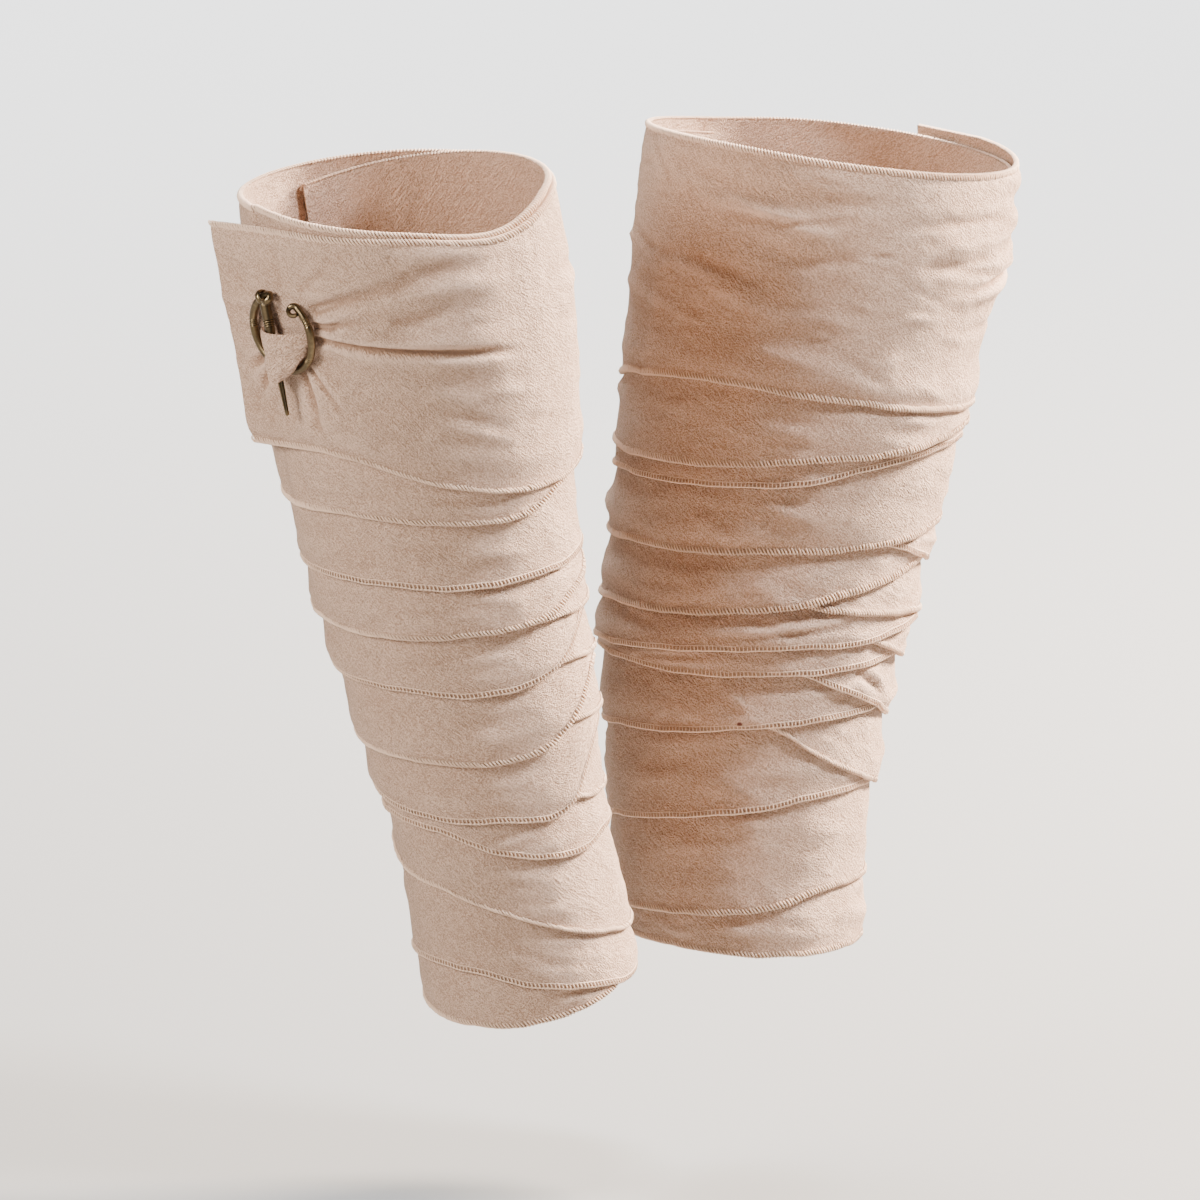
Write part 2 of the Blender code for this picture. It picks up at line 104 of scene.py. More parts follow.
# Height of each turn's lower edge at ten places round the leg.
#             back  back_in in_back in_front front_in front front_out out_front out_back back_out
RIGHT_TURNS = (
    Turn("right_turn_01", 3, 4, 6, 8, 9, 4, 1, 1, 3, 5),
    Turn("right_turn_02", 6, 6, 5, 5, 5, 10, 17, 25, 26, 25),
    Turn("right_turn_03", 25, 25, 24, 24, 25, 32, 44, 56, 62, 70),
    Turn("right_turn_04", 71, 70, 69, 68, 67, 64, 70, 81, 84, 84),
    Turn("right_turn_05", 84, 83, 82, 81, 81, 86, 91, 95, 97, 98),
    Turn("right_turn_06", 98, 99, 101, 105, 106, 82, 84, 87, 91, 95),
    Turn("right_turn_07", 100, 105, 109, 112, 113, 118, 117, 117, 117, 117),
    Turn("right_turn_08", 117, 119, 122, 127, 130, 111, 108, 112, 114, 115),
    Turn("right_turn_09", 120, 126, 131, 135, 137, 142, 142, 145, 147, 147),
    Turn("right_turn_10", 147, 148, 150, 153, 154, 138, 137, 142, 144, 146),
    Turn("right_turn_11", 148, 151, 154, 156, 157, 160, 164, 167, 168, 168),
    Turn("right_turn_12", 168, 169, 171, 173, 168, 161, 162, 164, 167, 168),
    Turn("right_turn_13", 171, 175, 178, 179, 178, 179, 182, 187, 188, 188),
    Turn("right_turn_14", 190, 195, 201, 208, 214, 205, 209, 216, 216, 216),
    Turn("right_under_band", 218, 224, 226, 226, 224, 226, 236, 247, 246, 234),
    Turn("right_top_band", 223, 222, 220, 217, 214, 215, 226, 241, 241, 240),
)
LEFT_TURNS = (
    Turn("left_turn_01", 0, 0, 0, 0, 0, 3, 6, 8, 8, 8),
    Turn("left_turn_02", 9, 10, 11, 14, 18, 28, 32, 34, 36, 38),
    Turn("left_turn_03", 40, 43, 47, 52, 59, 67, 71, 72, 74, 78),
    Turn("left_turn_04", 84, 89, 92, 94, 94, 79, 70, 68, 70, 75),
    Turn("left_turn_05", 79, 82, 84, 87, 93, 99, 104, 106, 107, 109),
    Turn("left_turn_06", 112, 115, 115, 115, 118, 109, 98, 95, 97, 103),
    Turn("left_turn_07", 109, 112, 112, 111, 114, 119, 125, 127, 127, 126),
    Turn("left_turn_08", 125, 124, 123, 125, 129, 131, 122, 118, 117, 116),
    Turn("left_turn_09", 116, 116, 117, 120, 125, 129, 137, 140, 141, 141),
    Turn("left_turn_10", 141, 140, 140, 141, 144, 141, 141, 139, 137, 135),
    Turn("left_turn_11", 134, 134, 134, 135, 141, 152, 163, 165, 166, 167),
    Turn("left_turn_12", 168, 168, 167, 167, 170, 170, 162, 159, 158, 158),
    Turn("left_turn_13", 158, 159, 159, 160, 164, 169, 177, 180, 182, 184),
    Turn("left_turn_14", 185, 186, 186, 187, 192, 204, 211, 210, 205, 200),
    Turn("left_turn_15", 197, 196, 194, 195, 201, 208, 217, 220, 222, 224),
    Turn("left_under_band", 228, 232, 234, 234, 232, 230, 230, 234, 234, 226),
    Turn("left_top_band", 219, 221, 226, 229, 227, 225, 225, 229, 231, 231),
)

# Height of the upper edge of the two broad turns at each rim.
RIGHT_UPPER_EDGES = (
    Turn("right_under_band", 324, 326, 327, 327, 326, 320, 327, 333, 337, 335),
    Turn("right_top_band", 332, 329, 326, 325, 323, 318, 325, 329, 332, 332),
)
LEFT_UPPER_EDGES = (
    Turn("left_under_band", 318, 319, 320, 320, 318, 317, 319, 322, 325, 326),
    Turn("left_top_band", 324, 324, 324, 323, 321, 320, 322, 327, 330, 330),
)

# Creases listed for each turn: from one place to another, a half width, and a height
# that is negative for a trough. Bow lifts the middle of the run.
Crease = namedtuple("Crease", "angle_a height_a angle_b height_b width height bow")
RIGHT_CREASES = {
    "right_turn_01": ((30, 12, -4, 9, 1.4, -0.8, 0.0),),
    "right_turn_02": (
        (61, 40, 20, 23, 2.2, -0.8, 0.5), (32, 27, -4, 19, 1.4, -0.9, 0.0),
        (24, 33, -10, 27, 1.5, 0.8, 0.0), (-166, 18, -110, 16, 2.0, -0.8, 0.5),
    ),
    "right_turn_03": (
        (48, 65, 6, 55, 2.2, 0.9, 0.0), (40, 52, 8, 47, 1.8, -0.8, 0.0),
        (-160, 48, -100, 40, 2.4, 0.9, 1.0),
    ),
    "right_turn_04": (
        (28, 96, 4, 93, 2.0, 1.1, -2.0), (48, 74, 24, 77, 1.8, 0.7, 0.0),
        (172, 92, 120, 90, 2.0, -0.8, 0.5),
    ),
    "right_turn_05": ((-150, 92, -108, 95, 2.0, 0.8, 0.0),),
    "right_turn_06": ((52, 101, 16, 99, 2.0, 0.9, 0.0),),
    "right_turn_07": ((166, 128, 120, 124, 2.0, 0.9, 0.0),),
    "right_turn_08": ((44, 126, 20, 121, 1.8, -0.7, 0.0), (36, 131, 12, 128, 2.0, 0.9, 0.0)),
    "right_turn_09": ((170, 156, 118, 160, 2.0, -0.8, 0.0),),
    "right_turn_10": ((40, 152, 14, 149, 2.0, 0.9, 1.0),),
    "right_turn_11": ((176, 178, 128, 176, 2.0, 0.9, 0.0),),
    "right_turn_12": ((36, 178, 8, 172, 2.0, 0.9, 1.0), (64, 176, 40, 173, 1.8, -0.6, 0.0)),
    "right_turn_13": ((30, 196, 4, 190, 2.2, 1.0, 0.5), (-170, 190, -120, 196, 2.2, -0.9, 1.0)),
    "right_turn_14": ((40, 220, 8, 212, 2.0, -0.8, 0.5),),
    "right_under_band": (
        (172, 300, 136, 292, 3.0, -0.9, 1.0), (176, 276, 142, 270, 2.6, 0.8, 1.0),
        (168, 254, 130, 262, 2.6, -0.9, 0.0),
    ),
    "right_top_band": (
        (40, 312, 12, 309, 3.5, -0.8, 1.0), (34, 304, 6, 303, 4.0, 0.6, 1.0),
        (30, 256, 10, 244, 2.4, -0.8, 0.0), (34, 250, 6, 238, 2.6, 0.7, 0.5),
        (50, 268, 24, 258, 4.2, 0.8, 1.0), (-20, 296, -62, 288, 3.4, -0.9, 1.5),
        (-48, 262, -96, 254, 3.0, -0.8, -1.0), (-70, 306, -128, 311, 3.6, 0.8, 1.0),
        (-104, 276, -150, 268, 3.0, -1.0, 1.0), (-120, 244, -164, 250, 2.6, 0.8, 0.0),
    ),
}
LEFT_CREASES = {
    "left_turn_01": ((-60, 9, -20, 12, 1.8, 0.8, 0.0),),
    "left_turn_02": (
        (-44, 56, -32, 60, 1.8, -2.0, 0.0), (-56, 52, -24, 55, 2.2, 1.4, 0.0),
        (-90, 48, -62, 47, 2.0, -1.4, 1.0), (-84, 38, -50, 41, 2.4, 1.1, 1.0),
        (-30, 47, 24, 64, 1.8, -1.1, -1.0), (-24, 38, 30, 54, 2.2, 0.9, -1.0),
        (-70, 30, -30, 28, 2.2, -0.9, 0.5), (-166, 24, -104, 30, 2.4, -1.0, 1.0),
        (168, 58, 112, 52, 2.4, 0.9, 1.0),
    ),
    "left_turn_03": (
        (-92, 78, -30, 89, 2.0, 1.2, 1.5), (-66, 82, -16, 91, 1.6, -1.2, 1.0),
        (-94, 66, -60, 77, 2.2, -1.1, 1.0), (-50, 72, -10, 78, 2.4, 0.9, 0.0),
        (-168, 60, -112, 66, 2.4, 1.0, 1.0),
    ),
    "left_turn_04": ((172, 90, 116, 84, 2.2, -1.0, 1.0),),
    "left_turn_05": ((-57, 112, -36, 96, 1.7, 1.0, 0.0), (-40, 105, 2, 110, 1.2, 0.7, 0.0)),
    "left_turn_06": ((4, 117, 18, 110, 2.0, -2.2, 0.0), (12, 118, 24, 108, 1.4, 1.0, 0.0)),
    "left_turn_07": ((-86, 115, -58, 119, 1.5, -1.0, 0.0),),
    "left_turn_08": ((170, 126, 120, 124, 1.8, 0.9, 0.0),),
    "left_turn_09": (
        (-56, 127, -6, 137, 1.5, -1.3, -0.5), (-46, 131, -4, 141, 1.5, 1.1, 0.0),
        (166, 152, 112, 148, 1.8, -0.9, 0.0),
    ),
    "left_turn_11": (
        (-68, 145, -16, 149, 1.5, -1.0, -0.5), (-72, 149, -48, 155, 2.0, 1.2, 1.0),
        (-100, 146, -70, 142, 1.8, -0.9, 0.0),
    ),
    "left_turn_12": ((20, 172, 52, 168, 1.8, 0.9, 0.0), (172, 172, 118, 168, 2.0, 0.9, 0.0)),
    "left_turn_13": (
        (-84, 186, -48, 184, 1.8, -1.4, 1.0), (-52, 188, -16, 191, 1.8, 1.0, 0.5),
        (-74, 177, -55, 166, 1.8, 1.1, 0.5), (-46, 183, -28, 178, 1.6, 1.1, 0.0),
        (-62, 172, -30, 173, 1.6, -0.9, 0.5),
    ),
    "left_turn_14": ((176, 208, 128, 212, 2.2, -1.0, 0.5),),
    "left_turn_15": (
        (-72, 213, -34, 211, 2.4, 1.2, -1.0), (-60, 220, -24, 217, 2.0, -1.1, 0.0),
        (-90, 224, -44, 226, 2.2, -1.1, 1.0),
    ),
    "left_under_band": (
        (174, 304, 132, 298, 3.0, -1.0, 1.0), (176, 272, 128, 266, 2.8, 0.9, 1.0),
        (168, 246, 122, 254, 2.6, -0.9, 0.0),
    ),
    "left_top_band": (
        (-80, 300, -41, 292, 3.2, 1.4, 2.0), (-72, 296, -34, 299, 2.6, -1.3, -2.0),
        (-56, 283, -36, 282, 3.6, -1.3, -1.5), (-76, 266, -52, 256, 3.6, 1.2, 1.0),
        (-84, 276, -60, 272, 3.4, -1.0, 0.0), (-58, 308, -30, 306, 3.6, -1.1, 0.5),
        (-8, 282, 40, 292, 2.6, -1.0, -1.0), (-18, 299, 48, 308, 3.0, -1.1, -2.0),
        (4, 292, 46, 299, 2.8, 0.9, -1.0), (2, 268, 50, 276, 2.8, 0.8, 0.0),
        (14, 256, 60, 262, 2.4, -0.8, 0.0), (-124, 284, -90, 274, 3.0, -1.1, -1.0),
        (-126, 262, -88, 254, 3.2, 1.0, 1.0), (-112, 320, -98, 304, 2.4, -1.1, 0.0),
        (-96, 312, -72, 308, 3.2, -0.9, 1.0), (-30, 245, -13, 234, 2.6, -0.9, 0.5),
        (-60, 244, -30, 238, 3.4, 0.9, 1.0), (-136, 300, -172, 294, 3.0, -1.0, 1.0),
        (-130, 242, -170, 250, 3.0, 0.9, 0.0),
    ),
}

CREASE_GAIN = 1.4
TROUGH_LIP = 0.8       # the cloth swells beside a trough by this share of its depth
TROUGH_LIP_REACH = 3.2
SEED = 20
CREASE_STEP = 9        # columns from one seeded crease to the next
CREASE_ROOM = 13       # width of cloth to each of them, in millimetres
CREASE_EDGE = 6        # degrees past a crease's ends where it has died away
CALF_RADIUS = 55       # a middling one, in millimetres
RADIAN = 57.3          # degrees
# The edges wander a little: waves in a turn, height and start of each wave.
EDGE_WAVES = ((7, 0.18, 0.4), (11, 0.14, 2.1), (19, 0.11, 4.4), (31, 0.07, 1.0))
EDGE_DRIFT = 0.37      # of a wave, so that no two turns wander alike
WEAVE_STEP = 0.37      # from the pattern of one turn to that of the next, in metres
# How the cloth settles: it bridges gaps of so many steps up and columns round, and eases over
# its corners likewise. Turns swell in full from one width on and not at all past the other.
BRIDGE_UP, BRIDGE_ROUND = 3, 2
EASE_UP, EASE_ROUND = 3.0, 1.6
SWELL_WIDTH = 22
FLAT_WIDTH = 60
LEAST_WIDTH = 6.0      # of a turn with its tuck, in millimetres
STITCHED_UNDER = 2.5   # an edge is stitched on this far beneath a later turn

# A wisp of red thread caught beside the stitches of one turn, in metres.
FLECK_PLACE = (0.0378, -0.0226, -0.1566)
FLECK_REACH = 0.0013
FLECK_COLOUR = (0.15, 0.045, 0.03)

# Turns whose edge shows the face of the overlock with open loops; on the rest it lies like rope.
LADDER_EDGES = ("right_turn_04", "right_turn_02", "right_turn_10", "right_turn_13", "right_turn_06",
                "left_turn_14", "left_turn_12", "left_turn_09", "left_turn_05", "left_turn_06",
                "left_turn_03", "left_turn_07")
# Stitch spacing and thread as shares of the settings, then the slant of the stitches and the
# radii of the threads along their inner ends and along the edge, in millimetres.
StitchStyle = namedtuple("StitchStyle", "pitch thread slant chain cord")
STITCH_STYLES = {
    "rope": StitchStyle(1.0, 0.98, 2.1, 0.04, 0.2),
    "ladder": StitchStyle(1.1, 0.66, 0.6, 0.2, 0.42),
}
STITCH_INPUTS = ("Pitch", "Reach", "Thread", "Slant", "Chain", "Cord")
CORD_STEP = 3.0        # between the corners of the long threads, in millimetres

# ---- the strip's free end and its brooch, in millimetres and degrees
PIN_ANGLE = 84.0
END_PAST_PIN = 20      # where the strip stops covering what is beneath it
FLAP_LENGTH = 37.0
FLAP_SKEW = 5.0
BROOCH_HEIGHT = 292.0
BROOCH_RUN = 4.0
BROOCH_GAP = 0.7
NEARBY = 10            # where the lie of the cloth under the brooch is taken
RING_RADIUS = 15.4
RING_CENTRE = (0.7, -1.3)
RING_ARC = (77, -225)
RING_LIFT = 2.6
RING_TILT = 0.05
CURL_RADIUS = 1.85
CURL_TURN = 285
CURL_LEAN = 42         # how far the rolled ends lean in over the ring
CURL_THICK = 0.85      # half sizes of the beaten end of the wire
CURL_WIDE = 1.45
CURL_STEPS = 44
RING_STEPS = 420
EYE_ANGLE = 62
EYE_RADIUS = 2.3
PIN_TIP = (0.6, -33.1)
PIN_SLOPE = 0.085
PIN_SIDES = 30
PIN_FLUTES = 6
# The pin's radius at distances from its eye, then at distances back from its tip.
PIN_FROM_EYE = ((-0.6, 0.9), (-0.3, 1.7), (0.3, 2.05), (1.0, 2.15), (8.9, 2.15), (9.3, 2.0),
                (11.4, 1.95), (12.4, 1.7), (13.4, 1.5))
PIN_FROM_TIP = ((12, 1.2), (0.6, 0.8), (0.25, 0.65), (0, 0.2))
PIN_GROOVES = (6.3, 8.85)
EYE_SIZES = (1.25, 0.75)  # half width and half thickness of the loop's wire
EYE_STEPS = 28
EYE_SIDES = 12
# Angle round the ring of the middle of each group of turned grooves, and how many there are.
RingGrooves = namedtuple("RingGrooves", "angle count")
RING_GROOVES = (RingGrooves(12, 4), RingGrooves(-200, 4), RingGrooves(-141, 3))
GROOVE_PITCH = 0.85
# The puff from top to bottom: its two sides, and how far its edge and its crown stand out.
PuffRow = namedtuple("PuffRow", "up end_side far_side edge_lift crown_lift")
PUFF_ROWS = (
    PuffRow(-0.9, 12.2, -11.9, 0.7, 7.4),
    PuffRow(-1.9, 12.6, -12.2, 0.7, 8.1),
    PuffRow(-5.0, 12.2, -11.4, 0.7, 8.4),
    PuffRow(-9.0, 10.6, -9.2, 1.0, 8.6),
    PuffRow(-12.5, 9.2, -7.0, 4.7, 8.9),
    PuffRow(-15.8, 7.4, -3.2, 5.2, 9.3),
    PuffRow(-18.6, 4.9, 0.8, 8.2, 9.5),
)
PUFF_ROUNDNESS = 2.4
PUFF_GRID = (25, 29)   # points up and across
PUFF_WEAVE = 60        # where the puff is pinched from, across the strip

# Pulls that run out from the brooch in the free end, in millimetres from its middle: x towards
# the free end, y up. They are deepest where they start.
Pull = namedtuple("Pull", "x_a y_a x_b y_b width depth bow")
PULL_LIP_REACH = 3.6
RING_CLEAR = 17.0      # from the ring's middle; further out the cloth may rise more
RING_ROOM = 1.1
RING_ROOM_SLOPE = 0.13
SINK_ROOM = 0.7        # between the free end and the layer below, with more where it hangs
HANGING_ROOM = 1.4
PULLS = (
    Pull(-12.5, 2.0, -24, 1.4, 1.3, 3.4, -0.8),
    Pull(-20, 1.4, -34, 3.2, 1.7, 1.6, 0.4),
    Pull(-12.5, -3.8, -92, -19.5, 1.3, 4.2, 0.5),
    Pull(-34, -8.5, -88, -19.0, 2.6, 2.2, 0.6),
    Pull(-13, -0.8, -24, -1.6, 1.6, -0.8, 0.0),
    Pull(-15, 8, -88, 21, 3.4, 3.0, 2.6),
    Pull(-46, 2, -84, 3, 3.6, 1.4, 0.8),
    Pull(-10, 16, -34, 33, 3.0, 1.0, 1.0),
    Pull(11, -9.0, 26, -18, 1.7, 4.4, -1.6),
    Pull(9, -13.0, 19, -28, 1.3, 3.4, 0.8),
    Pull(13, -18, 24, -44, 3.2, 1.6, 2.0),
    Pull(7, -17, 15, -46, 3.2, 1.2, 1.0),
    Pull(-4, -15.5, -11, -42, 1.5, 4.0, 0.8),
    Pull(-7, -14, -22, -36, 1.1, 2.4, 0.4),
    Pull(-9, -38, -22, -52, 3.0, 1.2, 0.0),
    Pull(13, 2, 31, 4, 2.6, 0.9, 0.5),
    Pull(12, 9, 30, 21, 3.2, 1.0, 0.8),
    Pull(2, 17, 6, 38, 3.0, 0.9, 0.6),
)

Leg = namedtuple("Leg", "name side hem_centre lean sections turns upper_edges creases")
LEGS = (
    Leg("right", -1, (-62, -14, -250), (-1.1, -9.6),
        RIGHT_SECTIONS, RIGHT_TURNS, RIGHT_UPPER_EDGES, RIGHT_CREASES),
    Leg("left", 1, (70, 14, -256), (0.0, 7.7),
        LEFT_SECTIONS, LEFT_TURNS, LEFT_UPPER_EDGES, LEFT_CREASES),
)

# ---- light, round what the camera looks at: degrees, metres and watts
WORLD_STRENGTH = 0.03
Softbox = namedtuple("Softbox", "name azimuth elevation distance size power spread down colour")
SOFTBOXES = (
    Softbox("key_right", 77, 30, 2.3, 0.45, 500, 180, False, (1.0, 0.84, 0.675)),
    Softbox("front_soft", 45, 45, 2.3, 0.4, 132, 180, False, (0.97, 0.965, 0.985)),
    Softbox("rim_left", -90, 27, 1.1, 0.3, 13, 180, False, (1.0, 0.94, 0.87)),
    Softbox("rim_low", -75, 18, 1.3, 0.5, 4.5, 180, False, (1.0, 0.95, 0.9)),
    Softbox("far_floor", 140, 38, 5.6, 5.5, 1100, 80, True, (0.97, 0.985, 1.0)),
)
FLOOR_REACH = 30.0

# ---- fineness of the winding
AROUND = 180           # columns round one turn
BANDS = 2              # broad turns at the top of each leg
HEIGHT_STEP = 0.5      # spacing of the field of lifts, in millimetres
FIELD_TOP = 350.0
TURN_ROWS = 16
SEEN_SHARE = 0.84      # share of a turn's rows that lie where it shows
UNDER_BAND_ROWS = 46
TOP_BAND_ROWS = 100
FINE_ANGLE = 36.0      # from here to its end the free end has twice as many columns
FLAP_COLUMNS = 34
BROOCH_SHARE = 0.67    # where the brooch lies between the edges of the top band
WALL_SHARE = 0.85      # thickness of the drawn cloth, as a share of a layer's
HIDDEN_TOP = 400.0     # taller than any edge
BURIED = -20.0         # deeper than any layer
STRETCH = AROUND // 4  # columns laid at a time
MARGIN = 4             # columns on either side that they are smoothed with


class ClothSettings(bpy.types.PropertyGroup):
    thickness: FloatProperty(name="Cloth thickness", default=1.1,
                             description="Thickness of one layer of the strip, in millimetres")
    air: FloatProperty(name="Air between layers", default=0.12,
                       description="Gap between one layer and the next, in millimetres")
    tuck: FloatProperty(name="Tuck", default=8.0,
                        description="How far a turn reaches beneath the next ones, in millimetres")
    fade: FloatProperty(name="Fade", default=20.0,
                        description="Height over which a layer's lift dies away, in millimetres")
    slack_band: FloatProperty(name="Slack of the bands", default=0.8,
                              description="How loosely the broad turns lie, in millimetres")
    pillow_right: FloatProperty(name="Pillow, right", default=0.6,
                                description="Swell of each turn of the right wrap, in millimetres")
    pillow_left: FloatProperty(name="Pillow, left", default=1.2,
                               description="Swell of each turn of the left wrap, in millimetres")
    rumple_right: FloatProperty(name="Rumple, right", default=0.55,
                                description="Strength of the right wrap's small creases")
    rumple_left: FloatProperty(name="Rumple, left", default=1.0,
                               description="Strength of the left wrap's small creases")
    # The crepe's relief mixes these two colours: the sunken one is partly painted shade in the
    # cloth's recesses and partly its own mottled tone.
    light: FloatVectorProperty(name="Cloth, raised", default=(0.725, 0.498, 0.37),
                               subtype="COLOR", description="Colour of the raised threads")
    dark: FloatVectorProperty(name="Cloth, sunken", default=(0.375, 0.224, 0.143),
                              subtype="COLOR", description="Colour between the threads")


class OverlockSettings(bpy.types.PropertyGroup):
    pitch: FloatProperty(name="Pitch", default=1.4, min=0.8,
                         description="Distance from stitch to stitch, in millimetres")
    reach: FloatProperty(name="Reach", default=2.2,
                         description="How far the stitches reach in from the edge, in millimetres")
    thread: FloatProperty(name="Thread", default=0.36,
                          description="Radius of the bundled thread, in millimetres")
    colour: FloatVectorProperty(name="Thread colour", default=(0.84, 0.60, 0.44), subtype="COLOR",
                                description="Colour of the overlocking thread")


class BroochSettings(bpy.types.PropertyGroup):
    wire: FloatProperty(name="Wire", default=1.6,
                        description="Radius of the ring's wire, in millimetres")
    end_wire: FloatProperty(name="Wire at the ends", default=1.45,
                            description="Radius of the wire where it rolls over, in millimetres")
    sides: IntProperty(name="Sides", default=14, min=6,
                       description="Faces round the wire")
    bright: FloatVectorProperty(name="Bronze, rubbed", default=(0.21, 0.155, 0.085),
                                subtype="COLOR", description="Colour where the bronze is rubbed")
    dark: FloatVectorProperty(name="Bronze, dark", default=(0.03, 0.022, 0.015),
                              subtype="COLOR", description="Colour of the dark patina")


class StageSettings(bpy.types.PropertyGroup):
    azimuth: FloatProperty(name="Camera azimuth", default=math.radians(-40), subtype="ANGLE",
                           description="Direction of the camera, from the wearer's front")
    elevation: FloatProperty(name="Camera elevation", default=math.radians(12.5),
                             subtype="ANGLE", description="Height of the camera as an angle")
    distance: FloatProperty(name="Camera distance", default=3.4, unit="LENGTH",
                            description="Distance from the camera to what it looks at")
    target: FloatVectorProperty(name="Camera target", default=(-0.0203, -0.0058, -0.1007),
                                subtype="TRANSLATION", description="Point the camera looks at")
    focal: FloatProperty(name="Focal length", default=260.1,
                         description="Focal length on a 36 mm sensor, in millimetres")
    sole: FloatProperty(name="Floor below the hems", default=0.10, unit="LENGTH",
                        description="Height of the ankles above the floor")
    floor: FloatVectorProperty(name="Floor", default=(0.24, 0.24, 0.24), subtype="COLOR",
                               description="Colour of the floor")


# ---- node trees

def maths(operation, swapped=False):
    """A method that puts a value and others through one maths node."""
    def method(self, *others):
        values = (*others, self) if swapped else (self, *others)
        return self.nodes.node("ShaderNodeMath", {"operation": operation},
                               dict(enumerate(values)))
    return method


class Value:
    """A socket in a node tree that can be used in sums."""
    __add__ = __radd__ = maths("ADD")
    __sub__ = maths("SUBTRACT")
    __rsub__ = maths("SUBTRACT", swapped=True)
    __mul__ = __rmul__ = maths("MULTIPLY")
    __truediv__ = maths("DIVIDE")
    __rtruediv__ = maths("DIVIDE", swapped=True)
    at_least = maths("MAXIMUM")
    at_most = maths("MINIMUM")
    sine = maths("SINE")

    def __init__(self, nodes, socket):
        self.nodes = nodes
        self.socket = socket

    def clamped(self):
        return self.at_least(0.0).at_most(1.0)


class Nodes:
    """A node tree under construction."""

    def __init__(self, tree):
        self.tree = tree

    def node(self, kind, settings=None, sockets=None, output=0):
        """Add a node; settings come first, then the values or links of its sockets."""
        node = self.tree.nodes.new(kind)
        for name, value in (settings or {}).items():
            setattr(node, name, value)
        for key, given in (sockets or {}).items():
            for value in given if isinstance(given, list) else [given]:
                if isinstance(value, Value):
                    self.tree.links.new(value.socket, node.inputs[key])
                else:
                    node.inputs[key].default_value = value
        return Value(self, node.outputs[output]) if node.outputs else None

    def scaled(self, vector, scale):
        return self.node("ShaderNodeVectorMath", {"operation": "SCALE"},
                         {0: vector, "Scale": scale})


class Finish(Nodes):
    """A material under construction, round one Principled shader."""

    def __init__(self, name, **sockets):
        self.material = bpy.data.materials.new(name)
        self.material.use_nodes = True
        super().__init__(self.material.node_tree)
        self.shader = self.tree.nodes["Principled BSDF"]
        for socket, value in sockets.items():
            self.shader.inputs[socket.replace("_", " ")].default_value = value

    def feed(self, name, value):
        self.tree.links.new(value.socket, self.shader.inputs[name])

    def place(self, kind="Object"):
        return self.node("ShaderNodeTexCoord", output=kind)

    def mix(self, share, low, high):
        """Blend two colours."""
        low, high = ((*value, 1.0) if isinstance(value, tuple) else value for value in (low, high))
        return self.node("ShaderNodeMix", {"data_type": "RGBA"}, {0: share, 6: low, 7: high}, 2)

    def noise(self, vector, scale, detail=2.0, roughness=0.5, distortion=0.0):
        return self.node("ShaderNodeTexNoise", {},
                         {"Vector": vector, "Scale": scale, "Detail": detail,
                          "Roughness": roughness, "Distortion": distortion})

    def bump(self, height, distance):
        self.feed("Normal", self.node("ShaderNodeBump", {},
                                      {"Height": height, "Distance": distance, "Strength": 1.0}))


def crepe_cotton(cloth):
    """Beige crepe: a plain weave crinkled by slanting wrinkles and small pebbles, its colour carrying
    painted shade in recesses, in creases and under the stitches, and painted light on ridges.
    """
    finish = Finish("crepe_cotton", Roughness=0.92, Sheen_Weight=0.06, Sheen_Roughness=0.4,
                    Sheen_Tint=(1.0, 0.84, 0.68, 1.0))
    strip = finish.scaled(finish.place("UV"), 1 / MM)

    def streaks(angle, long, wide, detail):
        turned = finish.node("ShaderNodeMapping", {"vector_type": "TEXTURE"},
                             {"Vector": strip, "Rotation": (0, 0, math.radians(angle)),
                              "Scale": (long, wide, 1.0)})
        return finish.noise(turned, 1.0, detail, 0.55, 0.8)

    crinkle = streaks(-42, 3.0, 0.62, 2.0)
    cross = streaks(50, 2.2, 0.55, 2.0)
    pebble = finish.noise(strip, 1.35, 1.5, 0.5)
    lumps = finish.noise(strip, 0.11, 2.0, 0.5)
    patches = finish.noise(strip, 0.035, 2.0, 0.6)
    along, across = (finish.node("ShaderNodeSeparateXYZ", {}, {"Vector": strip}, axis)
                     for axis in "XY")
    wander = pebble * 2.4
    weave = (along * 9.0 + wander).sine() * (across * 9.0 + wander).sine()
    fine = finish.noise(strip, 2.2, 1.0, 0.5)
    crumpled = ((patches - 0.46) * 6.0).clamped()
    crumple = streaks(-24, 7.0, 2.6, 2.5) * crumpled
    relief = (crinkle * 1.1 + cross * (patches * 1.2) + pebble * 0.85 + weave * 0.05
              + fine * 0.6 + lumps * 1.5 + crumple * 2.0)
    # Painted shade along with the cloth's own tone: the colour darkens where crinkles, pebbles and
    # weave sink and lightens where they rise, with slow random patches.
    raised = ((crinkle - 0.5) * 2.0 + (cross - 0.5) * 0.9 + (pebble - 0.5) * 2.0
              + (fine - 0.5) * 2.8 + weave * 0.12 + (patches - 0.5) * 0.7 + 0.5).clamped()
    # Painted shade under the overlock stitches: the cloth darkens within about 3 mm of each turn's
    # lower edge.
    clear_of_stitch_shade = (across * 0.4 - 0.15).clamped()
    # Painted shade in troughs and painted light on ridges, from how sharply the cloth bends.
    bend = finish.node("ShaderNodeAttribute", {"attribute_name": "bend"}, output=2)
    raised = raised * (clear_of_stitch_shade * 0.85 + 0.15) - (1.0 - clear_of_stitch_shade) * 0.12 - bend * 0.9
    colour = finish.mix(raised.clamped(), tuple(cloth.dark), tuple(cloth.light))
    away = finish.node("ShaderNodeVectorMath", {"operation": "DISTANCE"},
                       {0: finish.place(), 1: FLECK_PLACE}, 1)
    fleck = ((FLECK_REACH - away) * (pebble * 5.0 / FLECK_REACH)).clamped()
    finish.feed("Base Color", finish.mix(fleck, colour, FLECK_COLOUR))
    finish.bump(relief, MM)
    return finish.material


